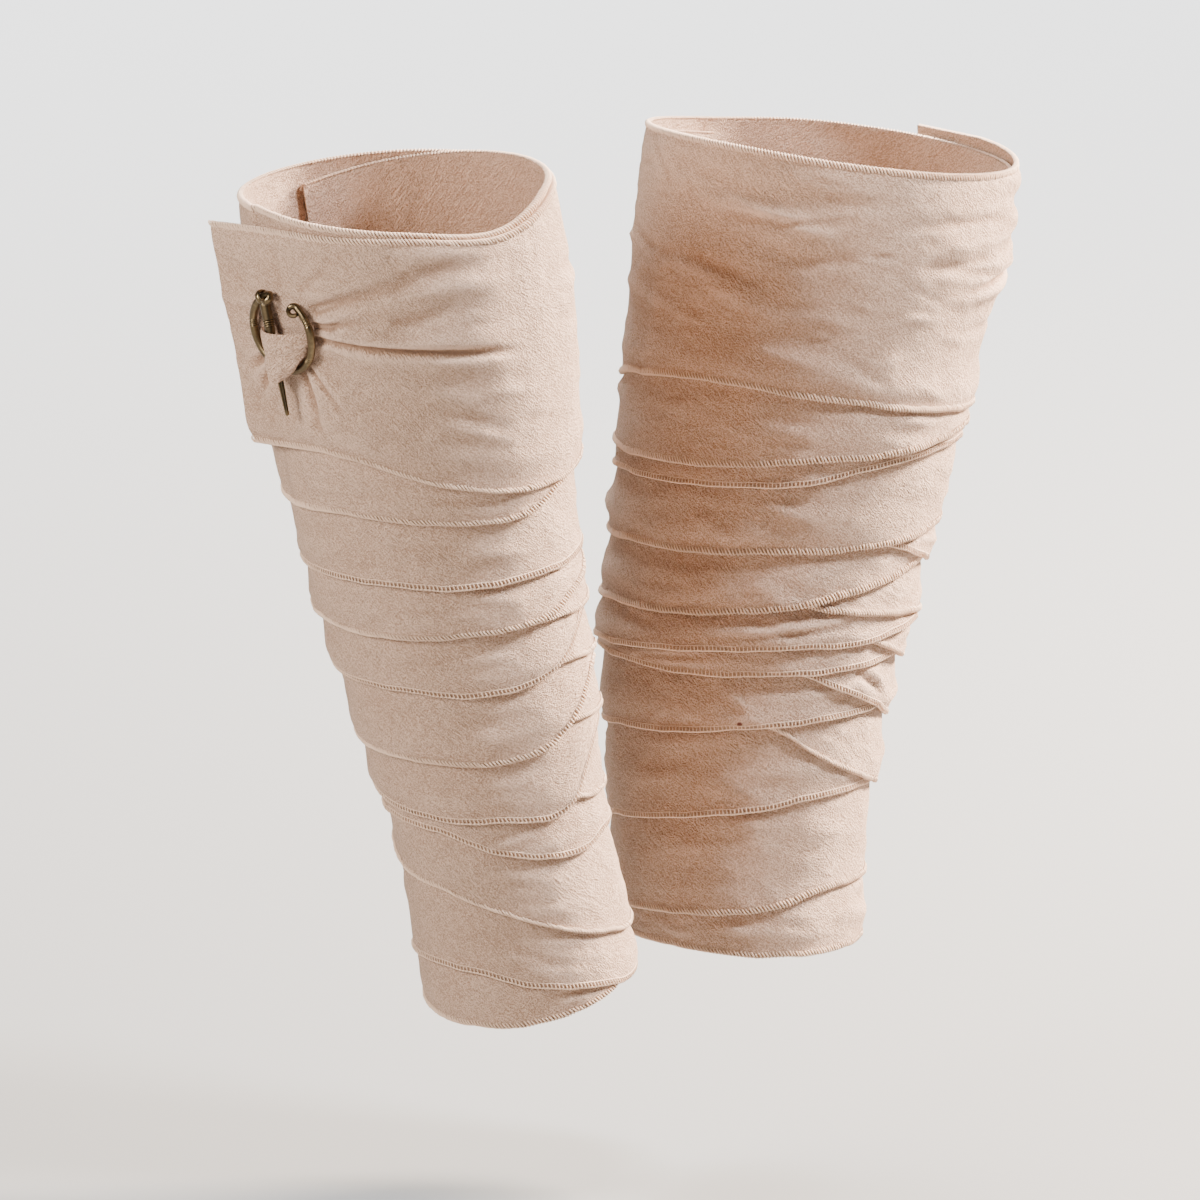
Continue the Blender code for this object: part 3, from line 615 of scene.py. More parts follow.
def overlock_thread(overlock):
    """Soft spun thread, a shade lighter than the cloth."""
    finish = Finish("overlock_thread", Roughness=0.85, Sheen_Weight=0.08, Sheen_Roughness=0.4)
    fuzz = finish.noise(finish.place(), 1800.0)
    soft = tuple(channel * 0.74 for channel in overlock.colour)
    finish.feed("Base Color", finish.mix(fuzz, soft, tuple(overlock.colour)))
    finish.bump(fuzz, 0.12 * MM)
    return finish.material


def antique_bronze(brooch):
    """Bronze with a dark patina, rubbed bright on what stands out."""
    finish = Finish("antique_bronze", Metallic=1.0, Roughness=0.34)
    blotch = finish.noise(finish.place(), 420.0, 3.0, 0.6)
    grain = finish.noise(finish.place(), 2600.0)
    proud = finish.node("ShaderNodeNewGeometry", output="Pointiness")
    rubbed = ((proud - 0.5) * 7.0 + blotch * 1.1 - 0.12).clamped()
    finish.feed("Base Color", finish.mix(rubbed, tuple(brooch.dark), tuple(brooch.bright)))
    finish.feed("Roughness", 0.46 - rubbed * 0.2 + grain * 0.06)
    finish.bump(grain + blotch, 0.05 * MM)
    return finish.material


# ---- shapes

def smooth_read(values, place):
    """Read a smooth curve through evenly spaced values, at an array of places."""
    values = np.asarray(values, float)
    last = len(values) - 1
    start = np.clip(np.floor(place).astype(int), 0, last - 1)
    share = place - start
    before, a, b, after = (values[np.clip(start + step, 0, last)] for step in (-1, 0, 1, 2))
    leaving = (b - before) / 2
    arriving = (after - a) / 2
    rise = b - a
    return (a + share * leaving
            + share ** 2 * (3 * rise - 2 * leaving - arriving)
            + share ** 3 * (leaving + arriving - 2 * rise))


def edge_heights(rows):
    """Heights of an edge along the whole strip, at every column and one more."""
    named = [value for row in rows for value in row[1:]]
    named.append(2 * named[-1] - named[-2])
    return smooth_read(named, np.arange(AROUND * len(rows) + 1) * PLACES / AROUND)


def leg_matrix(leg):
    tilt_back, tilt_out = (math.radians(angle) for angle in leg.lean)
    return (Matrix.Translation(Vector(leg.hem_centre) * MM)
            @ Euler((tilt_back, tilt_out, 0)).to_matrix().to_4x4())


def leg_points(leg, angle, height, lift, run=0.0):
    """Places in metres round a leg; run carries on straight past the angle."""
    place = np.maximum(height, 0.0) / SECTION_SPACING
    half_width, half_depth, out, back = (
        smooth_read(column, place) for column in list(zip(*leg.sections))[1:])
    turn = np.radians(angle)
    wide, deep = half_width + lift, half_depth + lift
    length = np.hypot(wide * np.cos(turn), deep * np.sin(turn))
    across = wide * np.sin(turn) + run * wide * np.cos(turn) / length + out
    ahead = deep * np.cos(turn) - run * deep * np.sin(turn) / length - back
    local = np.stack(np.broadcast_arrays(leg.side * across, -ahead, height, 1.0), -1)
    local[..., :3] *= MM
    return (local @ np.array(leg_matrix(leg)).T)[..., :3]


def angle_at(column):
    """Angle of a column, counted from the start of its turn."""
    return -180 + column * 360 / AROUND


def column_at(angle):
    return (angle + 180) * AROUND / 360


def smoothstep(low, high, value):
    share = np.clip((value - low) / (high - low), 0.0, 1.0)
    return share * share * (3 - 2 * share)


def moved(values, axis, reach):
    """An array moved by each step within reach along one axis, its edges drawn out."""
    pads = [(reach, reach) if side == axis else (0, 0) for side in range(2)]
    padded = np.pad(values, pads, mode="edge")
    count = values.shape[axis]
    return [np.take(padded, range(step, step + count), axis) for step in range(2 * reach + 1)]


def blurred(values, axis, sigma):
    """Soften an array along one axis."""
    reach = int(math.ceil(2.5 * sigma))
    weights = np.exp(-0.5 * (np.arange(-reach, reach + 1) / sigma) ** 2)
    layers = zip(weights, moved(values, axis, reach))
    return sum(weight * layer for weight, layer in layers) / weights.sum()


def widened(values, axis, reach):
    """Highest value within reach along one axis."""
    return np.max(moved(values, axis, reach), axis=0)


def radius_at(leg, height):
    return leg.sections[min(int(height / SECTION_SPACING), len(leg.sections) - 2)].half_width


def beside_fold(x, y, run, bow):
    """How far along a fold that starts at nought a place lies, as a share held between its
    ends, and how far it lies from the fold's bowed line."""
    length = max(np.hypot(*run), 1.0)
    share = (x * run[0] + y * run[1]) / length ** 2
    held = np.clip(share, 0.0, 1.0)
    side = (y * run[0] - x * run[1]) / length - bow * 4 * held * (1 - held) * np.sign(run[0])
    return held, np.hypot(side, (share - held) * length)


def crease_lift(crease, leg, angle, height):
    """How much one crease raises or sinks the cloth at a grid of places."""
    scale = math.radians(1) * radius_at(leg, crease.height_a)
    run = ((crease.angle_b - crease.angle_a) * scale, crease.height_b - crease.height_a)
    held, away = beside_fold((angle - crease.angle_a) * scale, height - crease.height_a, run,
                             crease.bow)
    away = away / crease.width
    lips = TROUGH_LIP * np.exp(-(away / TROUGH_LIP_REACH) ** 2) if crease.height < 0 else 0.0
    shape = CREASE_GAIN * crease.height * (np.exp(-away ** 2) - lips)
    return shape * (0.3 + 0.7 * np.sin(math.pi * np.clip(held, 0.05, 0.95)))


def pull_lift(x, y):
    """How far the pulls round the brooch raise and sink the cloth. It stays clear of the ring
    above and of the layer below, and may sink further where the end hangs free."""
    raised = np.zeros(np.broadcast_shapes(x.shape, y.shape))
    sunk = np.zeros_like(raised)
    for pull in PULLS:
        run = (pull.x_b - pull.x_a, pull.y_b - pull.y_a)
        held, away = beside_fold(x - pull.x_a, y - pull.y_a, run, pull.bow)
        away = away / (pull.width * (0.75 + 0.9 * held))
        depth = abs(pull.depth) * (1 - held ** 2.2) ** 0.8
        raised += depth * np.exp(-(away / (PULL_LIP_REACH if pull.depth > 0 else 1.0)) ** 2)
        if pull.depth > 0:
            sunk += depth * np.exp(-away ** 2)
    beyond = np.hypot(x - RING_CENTRE[0], y - RING_CENTRE[1]) - RING_CLEAR
    room = RING_ROOM + RING_ROOM_SLOPE * np.maximum(beyond, 0.0)
    raised = room * np.tanh(raised / room)
    return raised - np.minimum(sunk, raised + SINK_ROOM + HANGING_ROOM * smoothstep(-4, 6, x))


def small_creases(low, high, strength, chance):
    """Seeded short creases that follow the strip, with a few that slant."""
    creases = []
    for column in range(0, AROUND, CREASE_STEP):
        width = high[column] - low[column]
        for _ in range(max(1, int(width / CREASE_ROOM))):
            angle = angle_at(column + chance.uniform(0, CREASE_STEP))
            height = low[column] + width * chance.uniform(0.08, 0.95)
            reach = chance.uniform(5, 17)
            slope = math.radians(chance.normal(0, 14) if chance.random() < 0.75
                                 else chance.normal(0, 50))
            spread = reach * math.cos(slope) / CALF_RADIUS * RADIAN
            climb = reach * math.sin(slope)
            size = strength * chance.uniform(0.2, 0.75) * chance.choice((-1, 1))
            creases.append(Crease(angle - spread / 2, height - climb / 2,
                                  angle + spread / 2, height + climb / 2,
                                  chance.uniform(1.2, 3.2), size, chance.uniform(-1, 1)))
        if column % (2 * CREASE_STEP) == 0 and width > 9:
            angle = angle_at(column + chance.uniform(0, 2 * CREASE_STEP))
            height = low[column] + width * chance.uniform(0.2, 0.85)
            half = chance.uniform(9, 22)
            size = strength * chance.uniform(0.6, 1.3) * chance.choice((-1, 1))
            creases.append(Crease(angle - half, height - chance.normal(0, 2.5),
                                  angle + half, height + chance.normal(0, 2.5),
                                  chance.uniform(2.0, 4.5), size, chance.uniform(-2, 2)))
    return creases


class Winding:
    """A strip laid round one leg, on a field of lifts that grows as it goes up."""

    def __init__(self, leg, cloth):
        self.leg = leg
        self.cloth = cloth
        self.low = edge_heights(leg.turns)
        columns = len(self.low)
        for waves, size, start in EDGE_WAVES:
            turned = (waves + EDGE_DRIFT) * np.arange(columns) * 2 * math.pi / AROUND
            self.low += size * np.sin(turned + start)
        self.low = np.maximum(self.low, 0.0)
        self.heights = np.arange(0, FIELD_TOP, HEIGHT_STEP)
        shown = self.low.copy()
        past_end = angle_at(np.arange(AROUND + 1)) > PIN_ANGLE + END_PAST_PIN
        shown[-AROUND - 1:][past_end] = HIDDEN_TOP
        later = np.full((len(leg.turns), columns), HIDDEN_TOP)
        for step in range(1, len(leg.turns)):
            later[step, :columns - step * AROUND] = shown[step * AROUND:]
        self.cover = later.min(axis=0)
        own_top = edge_heights(leg.upper_edges)
        bands = columns - len(own_top)
        self.high = np.maximum(self.low + LEAST_WIDTH, self.cover + cloth.tuck)
        self.high[bands:] = own_top
        self.cover[bands:] = np.minimum(self.cover[bands:], own_top)
        self.lift = np.zeros((columns, len(self.heights)))
        self.lay()

    def creases(self, rumple):
        """The creases of each turn: the seeded ones, then the listed ones."""
        chance = np.random.default_rng(SEED + self.leg.side)
        top = np.minimum(self.high, self.cover)
        creases = []
        for turn, row in enumerate(self.leg.turns):
            ends = slice(turn * AROUND, (turn + 1) * AROUND + 1)
            seeded = small_creases(self.low[ends], top[ends], rumple, chance)
            by_hand = [Crease(*values) for values in self.leg.creases.get(row.name, ())]
            creases.append(seeded + by_hand)
        return creases

    def lay(self):
        """Lay the strip a stretch at a time, each on what the ones before it have left."""
        cloth, leg = self.cloth, self.leg
        is_right = leg.side < 0
        pillow = cloth.pillow_right if is_right else cloth.pillow_left
        creases = self.creases(cloth.rumple_right if is_right else cloth.rumple_left)
        heights = self.heights[None, :]
        field = np.zeros((AROUND, len(self.heights)))
        solid = np.full_like(field, BURIED)
        before = np.zeros((MARGIN, len(self.heights)))
        columns = len(self.low)
        for start in range(0, columns, STRETCH):
            stop = min(start + STRETCH, columns)
            own = np.arange(start, stop)
            spots = own % AROUND
            ahead = np.arange(stop, stop + MARGIN) % AROUND
            beneath = np.concatenate((before, field[spots], field[ahead]))
            soft = widened(widened(beneath, 1, BRIDGE_UP), 0, BRIDGE_ROUND)
            soft = blurred(blurred(soft, 1, EASE_UP), 0, EASE_ROUND)[MARGIN:-MARGIN]
            beneath = beneath[MARGIN:-MARGIN]
            before = beneath[-MARGIN:].copy()
            low, high, cover = (values[own][:, None] for values in
                                (self.low, self.high, self.cover))
            thinning = 1 - smoothstep(cover, cover + cloth.fade, heights)
            lift = np.maximum(soft, beneath) + cloth.air * thinning
            slack = cloth.slack_band if stop > columns - 1 - BANDS * AROUND else 0.0
            lift = lift + slack * smoothstep(low, low + 9, heights) * smoothstep(
                cover + 2, cover - 7, heights)
            turn = min(start // AROUND, len(leg.turns) - 1)
            angle = angle_at(own - turn * AROUND)[:, None]
            width = np.maximum(cover - low, 0.5)
            share = np.clip((heights - low) / width, 0, 1)
            swell = pillow * np.clip(width / SWELL_WIDTH, 0, 1) * np.sin(math.pi * share) ** 0.8
            lift = lift + swell * (width < FLAT_WIDTH)
            for crease in creases[turn]:
                first, last = sorted((crease.angle_a, crease.angle_b))
                if last >= angle[0, 0] - CREASE_EDGE and first <= angle[-1, 0] + CREASE_EDGE:
                    lift = lift + crease_lift(crease, leg, angle, heights) * smoothstep(
                        cover + 4, cover, heights)
            sunk = lift - cloth.thickness * (1 - thinning)
            sunk = np.maximum(sunk, solid[spots] + cloth.air)
            self.lift[own] = sunk
            here = (heights >= low - HEIGHT_STEP) & (heights <= high + HEIGHT_STEP)
            top = np.where(here, sunk + cloth.thickness, lift + cloth.thickness * thinning)
            reached = (heights >= low) & (heights <= cover + cloth.fade)
            field[spots] = np.where(reached, np.maximum(top, beneath), beneath)
            solid[spots] = np.where(here & (heights >= low), sunk + cloth.thickness, solid[spots])

    def rows(self, turn, shares, angles, runs):
        """Grid of outer points of one turn, how far each lies along and across the strip, and
        how sharply the cloth bends there, which the cloth's colour shows as painted shade in troughs
        and painted light on ridges."""
        place = turn * AROUND + column_at(np.minimum(angles, 180))
        numbers = np.arange(len(self.low))
        low, high, cover = (np.interp(place, numbers, values)[:, None]
                            for values in (self.low, self.high, self.cover))
        share = shares[None, :]
        height = low + (high - low) * share
        if turn < len(self.leg.turns) - BANDS:
            seen = np.clip(cover + 1.0 - low, 1.0, high - low - 1.0)
            height = low + np.where(
                share < SEEN_SHARE, seen * share / SEEN_SHARE,
                seen + (high - low - seen) * (share - SEEN_SHARE) / (1 - SEEN_SHARE))
        column = np.clip(place.astype(int), 0, len(self.low) - 2)
        lift = np.array([
            np.interp(rows, self.heights, self.lift[index] * (1 - part) + self.lift[index + 1] * part)
            for rows, index, part in zip(height, column, place - column)]) + self.cloth.thickness
        run = runs[:, None] + 0.0 * height
        if runs[-1] > 0:
            run = run + FLAP_SKEW * (2 * share - 1) * run / FLAP_LENGTH
            around = (angles[:, None] - PIN_ANGLE) * math.radians(
                radius_at(self.leg, BROOCH_HEIGHT))
            inside = smoothstep(0, 5, np.minimum(height - low, high - height))
            lift = lift + inside * pull_lift(around + run - BROOCH_RUN, height - BROOCH_HEIGHT)
        points = leg_points(self.leg, angles[:, None], height, lift, run)
        middle = points[:, len(shares) // 2]
        along = np.concatenate(([0], np.linalg.norm(np.diff(middle, axis=0), axis=1).cumsum()))
        flat = np.stack(np.broadcast_arrays(self.leg.side * (along[:, None] + WEAVE_STEP * turn),
                                            (height - low) * MM), -1)
        # How sharply the cloth bends, across and along the strip: it becomes painted shade in troughs
        # and painted light on ridges.
        rise = np.gradient(height, axis=1)
        bend = np.gradient(np.gradient(lift, axis=1) / rise, axis=1) / rise
        along = along / MM + 0.001 * np.arange(len(along))
        bend = bend + np.gradient(np.gradient(lift, along, axis=0), along, axis=0)
        return points, flat, np.clip(bend, -1.0, 1.0)


def outward_normals(points, side):
    """Unit normals of a grid of points, away from the leg."""
    normal = side * np.cross(np.gradient(points, axis=0), np.gradient(points, axis=1))
    return normal / np.linalg.norm(normal, axis=-1, keepdims=True)


def placed(name, data):
    """A new object in the scene."""
    item = bpy.data.objects.new(name, data)
    bpy.context.collection.objects.link(item)
    return item


def grid_object(name, points, flat, flipped, thickness, bend=None):
    """A sheet of cloth through a grid of points, with its thickness on the inner side."""
    columns, rows = points.shape[:2]
    number = np.arange(columns * rows).reshape(columns, rows)
    a, b, c, d = number[:-1, :-1], number[1:, :-1], number[1:, 1:], number[:-1, 1:]
    corners = np.stack((d, c, b, a) if flipped else (a, b, c, d), -1).reshape(-1, 4)
    mesh = bpy.data.meshes.new(name)
    mesh.from_pydata(points.reshape(-1, 3).tolist(), [], corners.tolist())
    layer = mesh.uv_layers.new(name="strip")
    layer.data.foreach_set("uv", flat.reshape(-1, 2)[corners.reshape(-1)].ravel())
    # The bend is kept for painted shade in troughs and painted light on ridges.
    if bend is not None:
        mesh.attributes.new("bend", "FLOAT", "POINT").data.foreach_set("value", bend.ravel())
    mesh.shade_smooth()
    ends = set(number[0]) | set(number[-1])
    for edge in mesh.edges:
        if set(edge.vertices) <= ends:
            edge.use_edge_sharp = True
    mesh.materials.append(finish_named("cloth"))
    item = placed(name, mesh)
    wall = item.modifiers.new("thickness", "SOLIDIFY")
    wall.thickness = thickness * MM
    wall.offset = -1.0
    return item


def sweep(path, radii, asides, closed=False):
    """Points and faces of a wire along a path. Radii has a row for each station and a column
    for each side; asides says where the first side faces."""
    path, radii = np.asarray(path, float), np.asarray(radii, float)
    count, sides = radii.shape
    ahead = np.roll(path, -1, 0) - np.roll(path, 1, 0) if closed else np.gradient(path, axis=0)
    ahead /= np.linalg.norm(ahead, axis=1, keepdims=True)
    asides = np.broadcast_to(np.asarray(asides, float), path.shape)
    aside = asides - (asides * ahead).sum(1, keepdims=True) * ahead
    aside /= np.linalg.norm(aside, axis=1, keepdims=True)
    over = np.cross(ahead, aside)
    at = round_angles(sides)[None, :, None]
    ring = aside[:, None] * np.cos(at) + over[:, None] * np.sin(at)
    points = (path[:, None] + ring * radii[..., None]).reshape(-1, 3)
    faces = []
    for station in range(count if closed else count - 1):
        near, far = station * sides, (station + 1) % count * sides
        faces += [(near + k, near + (k + 1) % sides, far + (k + 1) % sides, far + k)
                  for k in range(sides)]
    if not closed:
        faces += [tuple(range(sides))[::-1],
                  tuple(range((count - 1) * sides, count * sides))]
    return points, faces


def round_angles(count):
    """Even angles round a circle."""
    return np.arange(count) * 2 * math.pi / count


def bronze_object(leg, part, pieces):
    """One part of a brooch, from closed shapes given in millimetres in the brooch's frame."""
    name = f"{leg.name}_brooch_{part}"
    matrix = brooch_matrix(leg)
    points, faces = [], []
    for some, theirs in pieces:
        faces += [tuple(len(points) + index for index in face) for face in theirs]
        points += [tuple(matrix @ (Vector(point) * MM)) for point in some]
    mesh = bpy.data.meshes.new(name)
    mesh.from_pydata(points, [], faces)
    mesh.validate()
    mesh.shade_smooth()
    mesh.set_sharp_from_angle(angle=math.radians(50))
    mesh.materials.append(finish_named("bronze"))
    own_piece(placed(name, mesh), "bronze", name)


# ---- overlocked edges

def overlock_tree(name, thread):
    """Stitches thrown over an edge, with a thread along their inner ends and one along the
    edge. Returns the tree and the identifier of each of its inputs."""
    tree = bpy.data.node_groups.new(name, "GeometryNodeTree")
    tree.is_modifier = True
    for way in ("INPUT", "OUTPUT"):
        tree.interface.new_socket("Geometry", in_out=way, socket_type="NodeSocketGeometry")
    sockets = {label: tree.interface.new_socket(label, in_out="INPUT",
                                                socket_type="NodeSocketFloat").identifier
               for label in STITCH_INPUTS}
    nodes = Nodes(tree)
    node = nodes.node

    def given(label):
        return node("NodeGroupInput", output=label)

    def named(label):
        return node("GeometryNodeInputNamedAttribute", {"data_type": "FLOAT_VECTOR"},
                    {"Name": label}, "Attribute")

    def vector(x, y, z):
        return node("ShaderNodeCombineXYZ", {}, {0: x, 1: y, 2: z})

    def spaced(curve, step):
        return node("GeometryNodeResampleCurve", {"mode": "LENGTH"},
                    {"Curve": curve, "Length": step})

    def tube(curve, sides, radius):
        section = node("GeometryNodeCurvePrimitiveCircle", {},
                       {"Resolution": sides, "Radius": radius})
        return node("GeometryNodeCurveToMesh", {}, {"Curve": curve, "Profile Curve": section})

    edge = node("GeometryNodeMeshToCurve", {}, {"Mesh": given("Geometry")})
    reach = given("Reach")
    half_slant = given("Slant") * 0.5
    back_slant = given("Slant") * -0.5
    thrown = node("GeometryNodeCurvePrimitiveBezierSegment", {"mode": "POSITION"}, {
        "Resolution": 8,
        "Start": vector(reach, half_slant, 0.0),
        "Start Handle": vector(reach * 0.55, 0.0, 1.15 * MM),
        "End Handle": vector(-1.25 * MM, back_slant, 0.5 * MM),
        "End": vector(0.35 * MM, back_slant, -1.35 * MM)})
    stations = node("GeometryNodeResampleCurve", {"mode": "COUNT"}, {"Curve": thrown, "Count": 5})
    swell = (node("GeometryNodeSplineParameter", output="Factor") * math.pi).sine()
    tapered = node("GeometryNodeSetCurveRadius", {},
                   {"Curve": stations, "Radius": swell * 0.6 + 0.45})
    facing = node("FunctionNodeAxesToRotation", {"primary_axis": "X", "secondary_axis": "Z"},
                  {"Primary Axis": named("inward"), "Secondary Axis": named("outward")})
    uneven = node("FunctionNodeRandomValue", {"data_type": "FLOAT_VECTOR"},
                  {"Min": (0.86, 0.8, 0.85), "Max": (1.12, 1.15, 1.15), "Seed": 7})
    threads = [node("GeometryNodeInstanceOnPoints", {},
                    {"Points": spaced(edge, given("Pitch")), "Rotation": facing,
                     "Instance": tube(tapered, 5, given("Thread")), "Scale": uneven})]
    for inset, lift, radius in ((reach, 0.05, given("Chain")),
                                (0.15 * MM, -0.1, given("Cord"))):
        shift = node("ShaderNodeVectorMath", {"operation": "ADD"},
                     {0: nodes.scaled(named("inward"), inset),
                      1: nodes.scaled(named("outward"), lift * MM)})
        line = node("GeometryNodeSetPosition", {},
                    {"Geometry": spaced(edge, CORD_STEP * MM), "Offset": shift})
        threads.append(tube(line, 4, radius))
    joined = node("GeometryNodeJoinGeometry", {}, {0: threads})
    real = node("GeometryNodeRealizeInstances", {}, {"Geometry": joined})
    soft = node("GeometryNodeSetShadeSmooth", {}, {"Geometry": real})
    finished = node("GeometryNodeSetMaterial", {}, {"Geometry": soft, "Material": thread})
    node("NodeGroupOutput", {}, {"Geometry": finished})
    return tree, sockets


def edging_object(name, lines, sizes):
    """Overlock along many edges; each line has points, inward and outward directions."""
    steps, start = [], 0
    for points, inward, outward in lines:
        steps += [(start + k, start + k + 1) for k in range(len(points) - 1)]
        start += len(points)
    points, inward, outward = (np.concatenate(parts) for parts in zip(*lines))
    mesh = bpy.data.meshes.new(name)
    mesh.from_pydata(points.tolist(), steps, [])
    for label, vectors in (("inward", inward), ("outward", outward)):
        layer = mesh.attributes.new(label, "FLOAT_VECTOR", "POINT")
        layer.data.foreach_set("vector", vectors.ravel())
    guide = placed(name + "_guide", mesh)
    tree, sockets = overlock_tree(name, finish_named("thread"))
    stitcher = guide.modifiers.new("overlock", "NODES")
    stitcher.node_group = tree
    for label, value in sizes.items():
        stitcher[sockets[label]] = value * MM
    bpy.context.view_layer.update()
    evaluated = guide.evaluated_get(bpy.context.evaluated_depsgraph_get())
    made = bpy.data.meshes.new_from_object(evaluated)
    made.name = name
    bpy.data.objects.remove(guide, do_unlink=True)
    return placed(name, made)


# ---- what the operators share

windings = {}
finishes = {}
edge_lines = {}


def winding_of(leg):
    """The leg's strip, laid once and kept for the edging and the brooch."""
    if leg.name not in windings:
        windings[leg.name] = Winding(leg, bpy.context.scene.wrap_cloth)
    return windings[leg.name]


def finish_named(name):
    makers = {"cloth": lambda: crepe_cotton(bpy.context.scene.wrap_cloth),
              "thread": lambda: overlock_thread(bpy.context.scene.wrap_overlock),
              "bronze": lambda: antique_bronze(bpy.context.scene.wrap_brooch)}
    if name not in finishes:
        finishes[name] = makers[name]()
    return finishes[name]


def own_piece(item, slot, *nodes):
    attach(item, BODY)
    if nodes:
        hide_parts(*nodes)


def brooch_matrix(leg):
    """The brooch's own frame on the cloth: X along the strip, Y up the leg, Z out."""
    winding = winding_of(leg)
    column = (len(leg.turns) - 1) * AROUND + int(round(column_at(PIN_ANGLE)))
    lift = (np.interp(BROOCH_HEIGHT, winding.heights, winding.lift[column])
            + winding.cloth.thickness + BROOCH_GAP)
    middle, along, up = (
        Vector(leg_points(leg, np.array(PIN_ANGLE), np.array(height), lift, run))
        for height, run in ((BROOCH_HEIGHT, BROOCH_RUN),
                            (BROOCH_HEIGHT, BROOCH_RUN + NEARBY),
                            (BROOCH_HEIGHT + NEARBY, BROOCH_RUN)))
    along = (leg.side * (along - middle)).normalized()
    out = along.cross(up - middle).normalized()
    up = out.cross(along)
    return Matrix.Translation(middle) @ Matrix((along, up, out)).transposed().to_4x4()


# ---- cloth pieces

def turn_shares(leg, turn):
    """Where the rows of points lie between a turn's edges: closer together at the brooch."""
    above = len(leg.turns) - 1 - turn
    if above:
        return np.linspace(0, 1, UNDER_BAND_ROWS if above < BANDS else TURN_ROWS)
    even = np.linspace(0, 1, 400)
    crowding = np.cumsum(1 + np.exp(-((even - BROOCH_SHARE) / 0.15) ** 2))
    return np.interp(np.linspace(crowding[0], crowding[-1], TOP_BAND_ROWS), crowding, even)


def stretch_sizes(points):
    """Length of each step along a stretch of cloth, and its width at each column."""
    return (np.linalg.norm(np.diff(points, axis=0), axis=2).mean(axis=1),
            np.linalg.norm(np.diff(points, axis=1), axis=2).sum(axis=1))


def build_turn(leg, turn):
    """One stretch of the strip, as far as it shows and tucks under, and its edge lines."""
    winding = winding_of(leg)
    name = leg.turns[turn].name
    angles = angle_at(np.arange(AROUND + 1))
    runs = np.zeros_like(angles)
    if turn == len(leg.turns) - 1:
        coarse = angles[angles < FINE_ANGLE - 0.5]
        fine = np.arange(FINE_ANGLE, PIN_ANGLE - 0.5, 180 / AROUND)
        flap = np.linspace(0, FLAP_LENGTH, FLAP_COLUMNS)
        angles = np.concatenate((coarse, fine, np.full(len(flap), PIN_ANGLE)))
        runs = np.concatenate((0.0 * coarse, 0.0 * fine, flap))
    points, flat, bend = winding.rows(turn, turn_shares(leg, turn), angles, runs)
    item = grid_object(name, points, flat, leg.side < 0, winding.cloth.thickness * WALL_SHARE,
                       bend)
    own_piece(item, "cloth", name)
    steps, widths = stretch_sizes(points)
    note_edges(leg, turn, winding, points, angles)


def note_edges(leg, turn, winding, points, angles):
    """Keep the stretches of this turn's edges that show, for the overlocking."""
    normal = outward_normals(points, leg.side)
    place = turn * AROUND + column_at(angles)
    low, cover = (np.interp(place, np.arange(len(values)), values)
                  for values in (winding.low, winding.cover))
    is_band = turn >= len(leg.turns) - BANDS
    whole = np.ones(len(low), bool)
    style = "ladder" if leg.turns[turn].name in LADDER_EDGES else "rope"
    edges = [(style, 0, 1, whole if is_band else low < cover + STITCHED_UNDER)]
    if is_band:
        edges.append(("rope", -1, -2, whole))
    for style, row, beside, visible in edges:
        inward = points[:, beside] - points[:, row]
        inward /= np.linalg.norm(inward, axis=1, keepdims=True)
        edge = (points[:, row], inward, normal[:, row])
        starts = np.flatnonzero(np.diff(np.concatenate(([0], visible.astype(int), [0]))))
        for begin, end in zip(starts[::2], starts[1::2]):
            if end - begin > 3:
                edge_lines.setdefault((leg.name, style), []).append(
                    [part[begin:end] for part in edge])


def build_puff(leg):
    """The pinch of cloth drawn up through the ring and over the pin."""
    name = leg.name + "_pinned_puff"
    rows, columns = PUFF_GRID
    place = np.linspace(0, len(PUFF_ROWS) - 1, rows)
    up, end_side, far_side, edge_lift, crown_lift = (
        smooth_read(column, place)[:, None] for column in zip(*PUFF_ROWS))
    side = np.linspace(-1, 1, columns)[None, :]
    across = far_side + (end_side - far_side) * (side + 1) / 2
    rise = 1 - np.abs(side) ** PUFF_ROUNDNESS
    lift = edge_lift + (crown_lift - edge_lift) * rise
    rising = up + 0.0 * side
    fold = np.hypot((across + 4.5) / 6.0, (rising + 7.6 + 0.18 * (across + 4.5)) / 0.9)
    lift = lift - 0.9 * np.exp(-fold ** 2)
    ridge = np.hypot((across - 2.0) / 2.0, (rising + 9.0) / 7.0)
    lift = lift + 0.5 * np.exp(-ridge ** 2)
    local = np.stack((leg.side * across, rising, lift, np.full_like(lift, 1 / MM)), -1) * MM
    points = (local @ np.array(brooch_matrix(leg)).T)[..., :3]
    flat = np.stack((across, rising + PUFF_WEAVE), -1) * MM
    item = grid_object(name, points, flat, leg.side > 0, bpy.context.scene.wrap_cloth.thickness)
    own_piece(item, "cloth", name)
    steps, widths = stretch_sizes(points)


# ---- brooch

def ring_place(angle, radius=RING_RADIUS):
    turned = math.radians(angle)
    return Vector((RING_CENTRE[0] + radius * math.cos(turned),
                   RING_CENTRE[1] + radius * math.sin(turned)))


def ring_lift(up):
    return RING_LIFT + RING_TILT * (up - RING_CENTRE[1])


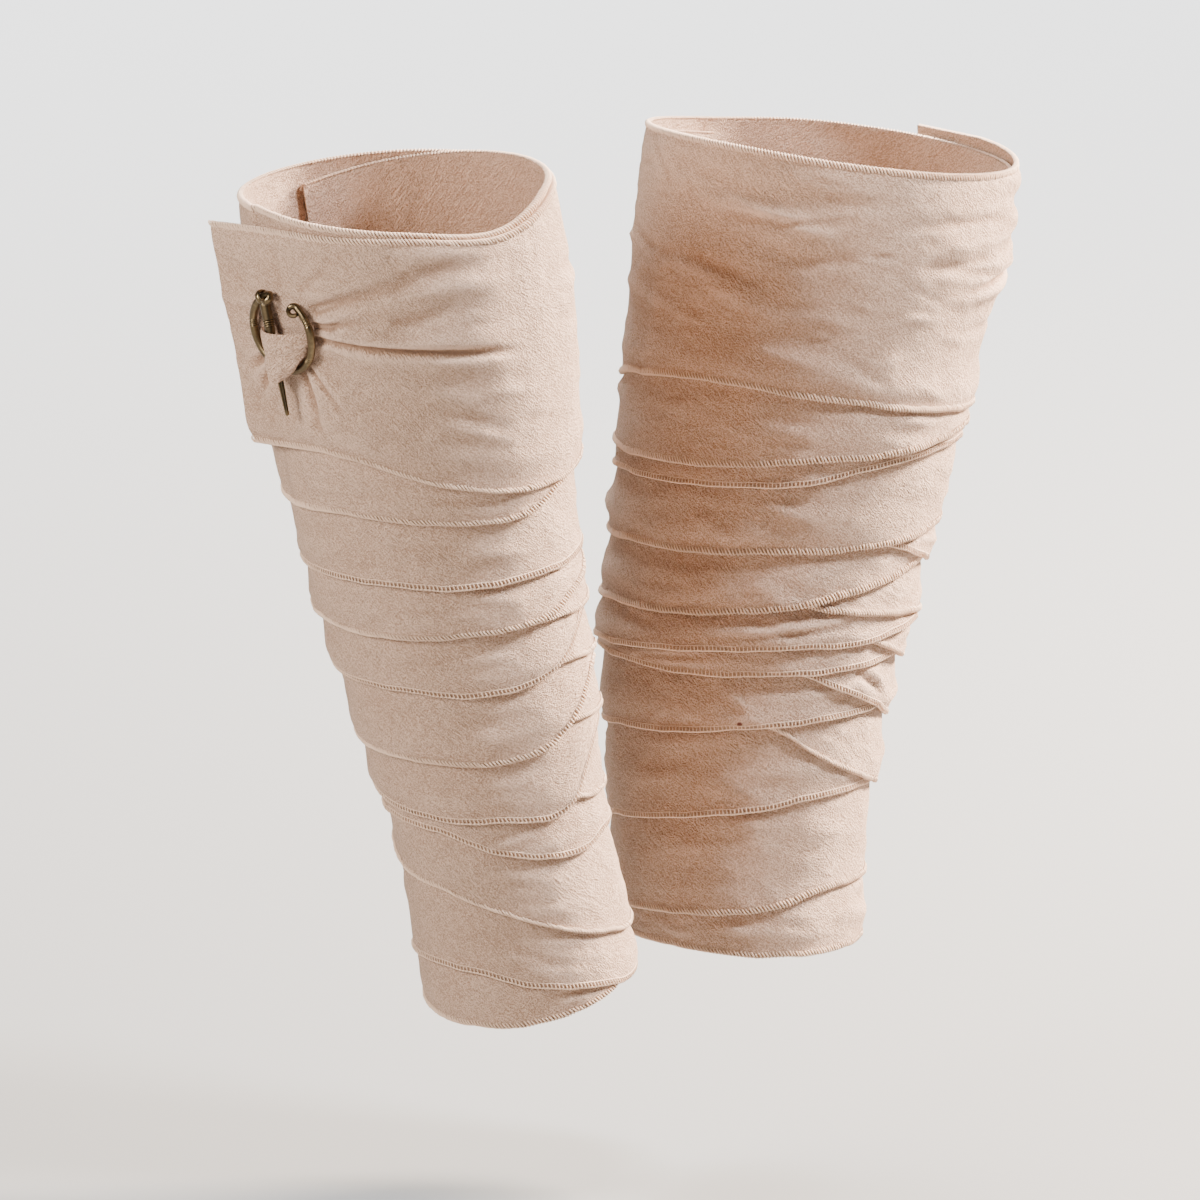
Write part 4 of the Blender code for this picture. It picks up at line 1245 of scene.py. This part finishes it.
def ring_stations(hand, brooch):
    """Centre line of the ring, with both ends rolled up and back towards the middle, its
    sideways directions and the thickness and width of the wire on the way."""
    path, asides, sizes = [], [], []
    start, end = RING_ARC

    def add(angle, onward, above, thick, wide, lean=0.0):
        turned = math.radians(angle)
        radial = Vector((hand * math.cos(turned), math.sin(turned), 0.0))
        tangent = Vector((-hand * math.sin(turned), math.cos(turned), 0.0))
        outward = Vector((0, 0, 1))
        place = ring_place(angle)
        path.append(Vector((hand * place.x, place.y, ring_lift(place.y))) + tangent * onward
                    + (outward * math.cos(lean) - radial * math.sin(lean)) * above)
        asides.append(radial * math.cos(lean) + outward * math.sin(lean))
        sizes.append((wide, thick))

    def rolled(at, direction):
        for step in range(1, CURL_STEPS + 1):
            share = step / CURL_STEPS
            turned = math.radians(CURL_TURN) * share
            flat = min(1.0, 2.2 * share)
            last = math.sqrt(max(0.02, 1 - max(0.0, (share - 0.9) / 0.1) ** 2))
            yield (at, direction * CURL_RADIUS * math.sin(turned),
                   CURL_RADIUS * (1 - math.cos(turned)),
                   last * (brooch.end_wire + (CURL_THICK - brooch.end_wire) * flat),
                   last * (brooch.end_wire + (CURL_WIDE - brooch.end_wire) * flat),
                   math.radians(CURL_LEAN) * min(1.0, 3 * share))

    for station in reversed(list(rolled(start, 1))):
        add(*station)
    for step in range(RING_STEPS + 1):
        share = step / RING_STEPS
        angle = start + (end - start) * share
        radius = brooch.end_wire + (brooch.wire - brooch.end_wire) * smoothstep(
            0.02, 0.16, min(share, 1 - share))
        for group in RING_GROOVES:
            away = math.radians(angle - group.angle) * RING_RADIUS / GROOVE_PITCH
            if abs(away) < group.count / 2:
                radius *= 1 - 0.16 * math.sin(math.pi * (away + group.count / 2)) ** 4
        add(angle, 0.0, 0.0, radius, radius)
    for station in rolled(end, -1):
        add(*station)
    return path, asides, np.array(sizes)


def oval_radii(sizes, sides):
    """Radius at each side of a wire that is sizes[:, 0] wide and sizes[:, 1] thick."""
    at = round_angles(sides)
    wide, thick = sizes[:, :1], sizes[:, 1:]
    return wide * thick / np.hypot(thick * np.cos(at), wide * np.sin(at))


def build_ring(leg):
    brooch = bpy.context.scene.wrap_brooch
    path, asides, sizes = ring_stations(leg.side, brooch)
    bronze_object(leg, "ring", [sweep(path, oval_radii(sizes, brooch.sides), asides)])


def build_pin(leg):
    """The pin: a loop round the wire, a grooved barrel and a fluted blade."""
    hand = leg.side
    eye = ring_place(EYE_ANGLE)
    start = ring_place(EYE_ANGLE, RING_RADIUS - EYE_RADIUS)
    lift = ring_lift(eye.y)
    top = Vector((hand * start.x, start.y, lift + 0.3))
    tip = Vector((hand * PIN_TIP[0], PIN_TIP[1], lift + PIN_SLOPE * (start.y - PIN_TIP[1])))
    length = (tip - top).length
    stations = np.concatenate((np.arange(-0.6, 13, 0.12), np.linspace(13, length - 0.6, 40),
                               length - 0.6 * np.linspace(0.85, 0, 6) ** 2))
    places, radii = zip(*PIN_FROM_EYE, *((length - back, radius) for back, radius in PIN_FROM_TIP))
    radius = np.interp(stations, places, radii)
    first, last = PIN_GROOVES
    grooved = np.abs(np.sin((stations - first) * math.pi / GROOVE_PITCH)) ** 5
    radius = radius * (1 - 0.15 * grooved * ((stations > first) & (stations < last)))
    flutes = 0.5 + 0.5 * np.cos(round_angles(PIN_SIDES) * PIN_FLUTES)
    blade = (smoothstep(13.5, 15.0, stations) * 0.32 + 0.035) * smoothstep(
        length, length - 3, stations)
    path = [tuple(top + (tip - top) * (along / length)) for along in stations]
    shaft = sweep(path, radius[:, None] * (1 - flutes[None, :] * blade[:, None]), (1, 0, 0))
    outward = (eye - Vector(RING_CENTRE)).normalized() * EYE_RADIUS
    loop = [(hand * (eye.x + outward.x * math.cos(at)), eye.y + outward.y * math.cos(at),
             lift + EYE_RADIUS * math.sin(at)) for at in round_angles(EYE_STEPS)]
    wire = oval_radii(np.full((EYE_STEPS, 2), EYE_SIZES), EYE_SIDES)
    bronze_object(leg, "pin", [
        shaft, sweep(loop, wire, (-outward.y * hand, outward.x, 0.0), closed=True)])


# ---- stage

def direction(azimuth, elevation):
    """The way out from what the camera looks at."""
    return Vector((math.sin(azimuth) * math.cos(elevation),
                   -math.cos(azimuth) * math.cos(elevation), math.sin(elevation)))


def stand(item, away, distance, faces_target=True):
    """Put a camera or a lamp at a distance from the target, facing it or straight down."""
    item.location = Vector(bpy.context.scene.wrap_stage.target) + away * distance
    if faces_target:
        item.rotation_euler = away.to_track_quat("Z", "Y").to_euler()


def build_stage(stage):
    lens = bpy.data.cameras.new("camera")
    lens.lens = stage.focal
    lens.sensor_width = 36.0
    lens.clip_end = 100.0
    camera = placed("camera", lens)
    stand(camera, direction(stage.azimuth, stage.elevation), stage.distance)
    bpy.context.scene.camera = camera

    level = CAD_BOX[0][2] - stage.sole
    mesh = bpy.data.meshes.new("floor")
    mesh.from_pydata([(x * FLOOR_REACH, y * FLOOR_REACH, level)
                      for x, y in ((-1, -1), (1, -1), (1, 1), (-1, 1))], [], [(0, 1, 2, 3)])
    mesh.materials.append(Finish("pale_floor", Base_Color=(*stage.floor, 1.0),
                                 Roughness=0.9).material)
    floor = placed("floor", mesh)

    world = bpy.data.worlds.new("studio")
    world.use_nodes = True
    background = world.node_tree.nodes["Background"].inputs
    background["Color"].default_value = (1.0, 1.0, 1.0, 1.0)
    background["Strength"].default_value = WORLD_STRENGTH
    bpy.context.scene.world = world
    for softbox in SOFTBOXES:
        lamp = bpy.data.lights.new(softbox.name, "AREA")
        lamp.size = softbox.size
        lamp.energy = softbox.power
        lamp.color = softbox.colour
        lamp.spread = math.radians(softbox.spread)
        stand(placed(softbox.name, lamp),
              direction(math.radians(softbox.azimuth), math.radians(softbox.elevation)),
              softbox.distance, not softbox.down)


# ---- operators

class WRAP_OT_turns(bpy.types.Operator):
    """Wind both strips and make each turn of them"""
    bl_idname = "wrap.turns"
    bl_label = "Wind the strips"

    def execute(self, context):
        for kept in (edge_lines, windings, finishes):
            kept.clear()
        for leg in LEGS:
            for turn in range(len(leg.turns)):
                build_turn(leg, turn)
        return {"FINISHED"}


class WRAP_OT_edging(bpy.types.Operator):
    """Overlock every edge that shows"""
    bl_idname = "wrap.edging"
    bl_label = "Overlock the edges"

    def execute(self, context):
        overlock = context.scene.wrap_overlock
        for (leg_name, kind), lines in edge_lines.items():
            style = STITCH_STYLES[kind]
            sizes = (overlock.pitch * style.pitch, overlock.reach,
                     overlock.thread * style.thread, style.slant, style.chain, style.cord)
            item = edging_object(f"{leg_name}_{kind}_edging", lines,
                                 dict(zip(STITCH_INPUTS, sizes)))
            own_piece(item, "cloth")
        return {"FINISHED"}


class WRAP_OT_puffs(bpy.types.Operator):
    """Make the puff of cloth that each pin holds"""
    bl_idname = "wrap.puffs"
    bl_label = "Draw up the puffs"

    def execute(self, context):
        for leg in LEGS:
            build_puff(leg)
        return {"FINISHED"}


class WRAP_OT_brooches(bpy.types.Operator):
    """Make each brooch's ring and pin"""
    bl_idname = "wrap.brooches"
    bl_label = "Make the brooches"

    def execute(self, context):
        for leg in LEGS:
            build_ring(leg)
            build_pin(leg)
        return {"FINISHED"}


class WRAP_OT_stage(bpy.types.Operator):
    """Set the floor, the lights and the camera"""
    bl_idname = "wrap.stage"
    bl_label = "Set the stage"

    def execute(self, context):
        build_stage(context.scene.wrap_stage)
        return {"FINISHED"}


class WRAP_PT_panel(bpy.types.Panel):
    """Sizes, colours and steps of the leg wraps"""
    bl_idname = "WRAP_PT_panel"
    bl_label = "Leg wraps"
    bl_space_type = "VIEW_3D"
    bl_region_type = "UI"
    bl_category = "Leg wraps"

    def draw(self, context):
        for settings in ("wrap_cloth", "wrap_overlock", "wrap_brooch", "wrap_stage"):
            group = getattr(context.scene, settings)
            column = self.layout.column(align=True)
            for name in type(group).__annotations__:
                column.prop(group, name)
        for operator in OPERATORS:
            self.layout.operator(operator.bl_idname)


SETTINGS = {"wrap_cloth": ClothSettings, "wrap_overlock": OverlockSettings,
            "wrap_brooch": BroochSettings, "wrap_stage": StageSettings}
OPERATORS = (WRAP_OT_turns, WRAP_OT_edging, WRAP_OT_puffs, WRAP_OT_brooches, WRAP_OT_stage)


def register():
    for kind in (*SETTINGS.values(), *OPERATORS, WRAP_PT_panel):
        bpy.utils.register_class(kind)
    for name, kind in SETTINGS.items():
        setattr(bpy.types.Scene, name, PointerProperty(type=kind))


def unregister():
    for name in SETTINGS:
        delattr(bpy.types.Scene, name)
    for kind in reversed((*SETTINGS.values(), *OPERATORS, WRAP_PT_panel)):
        bpy.utils.unregister_class(kind)


def main():
    register()
    bpy.ops.wrap.turns()
    bpy.ops.wrap.edging()
    bpy.ops.wrap.puffs()
    bpy.ops.wrap.brooches()
    bpy.ops.wrap.stage()


if __name__ == "__main__":
    main()
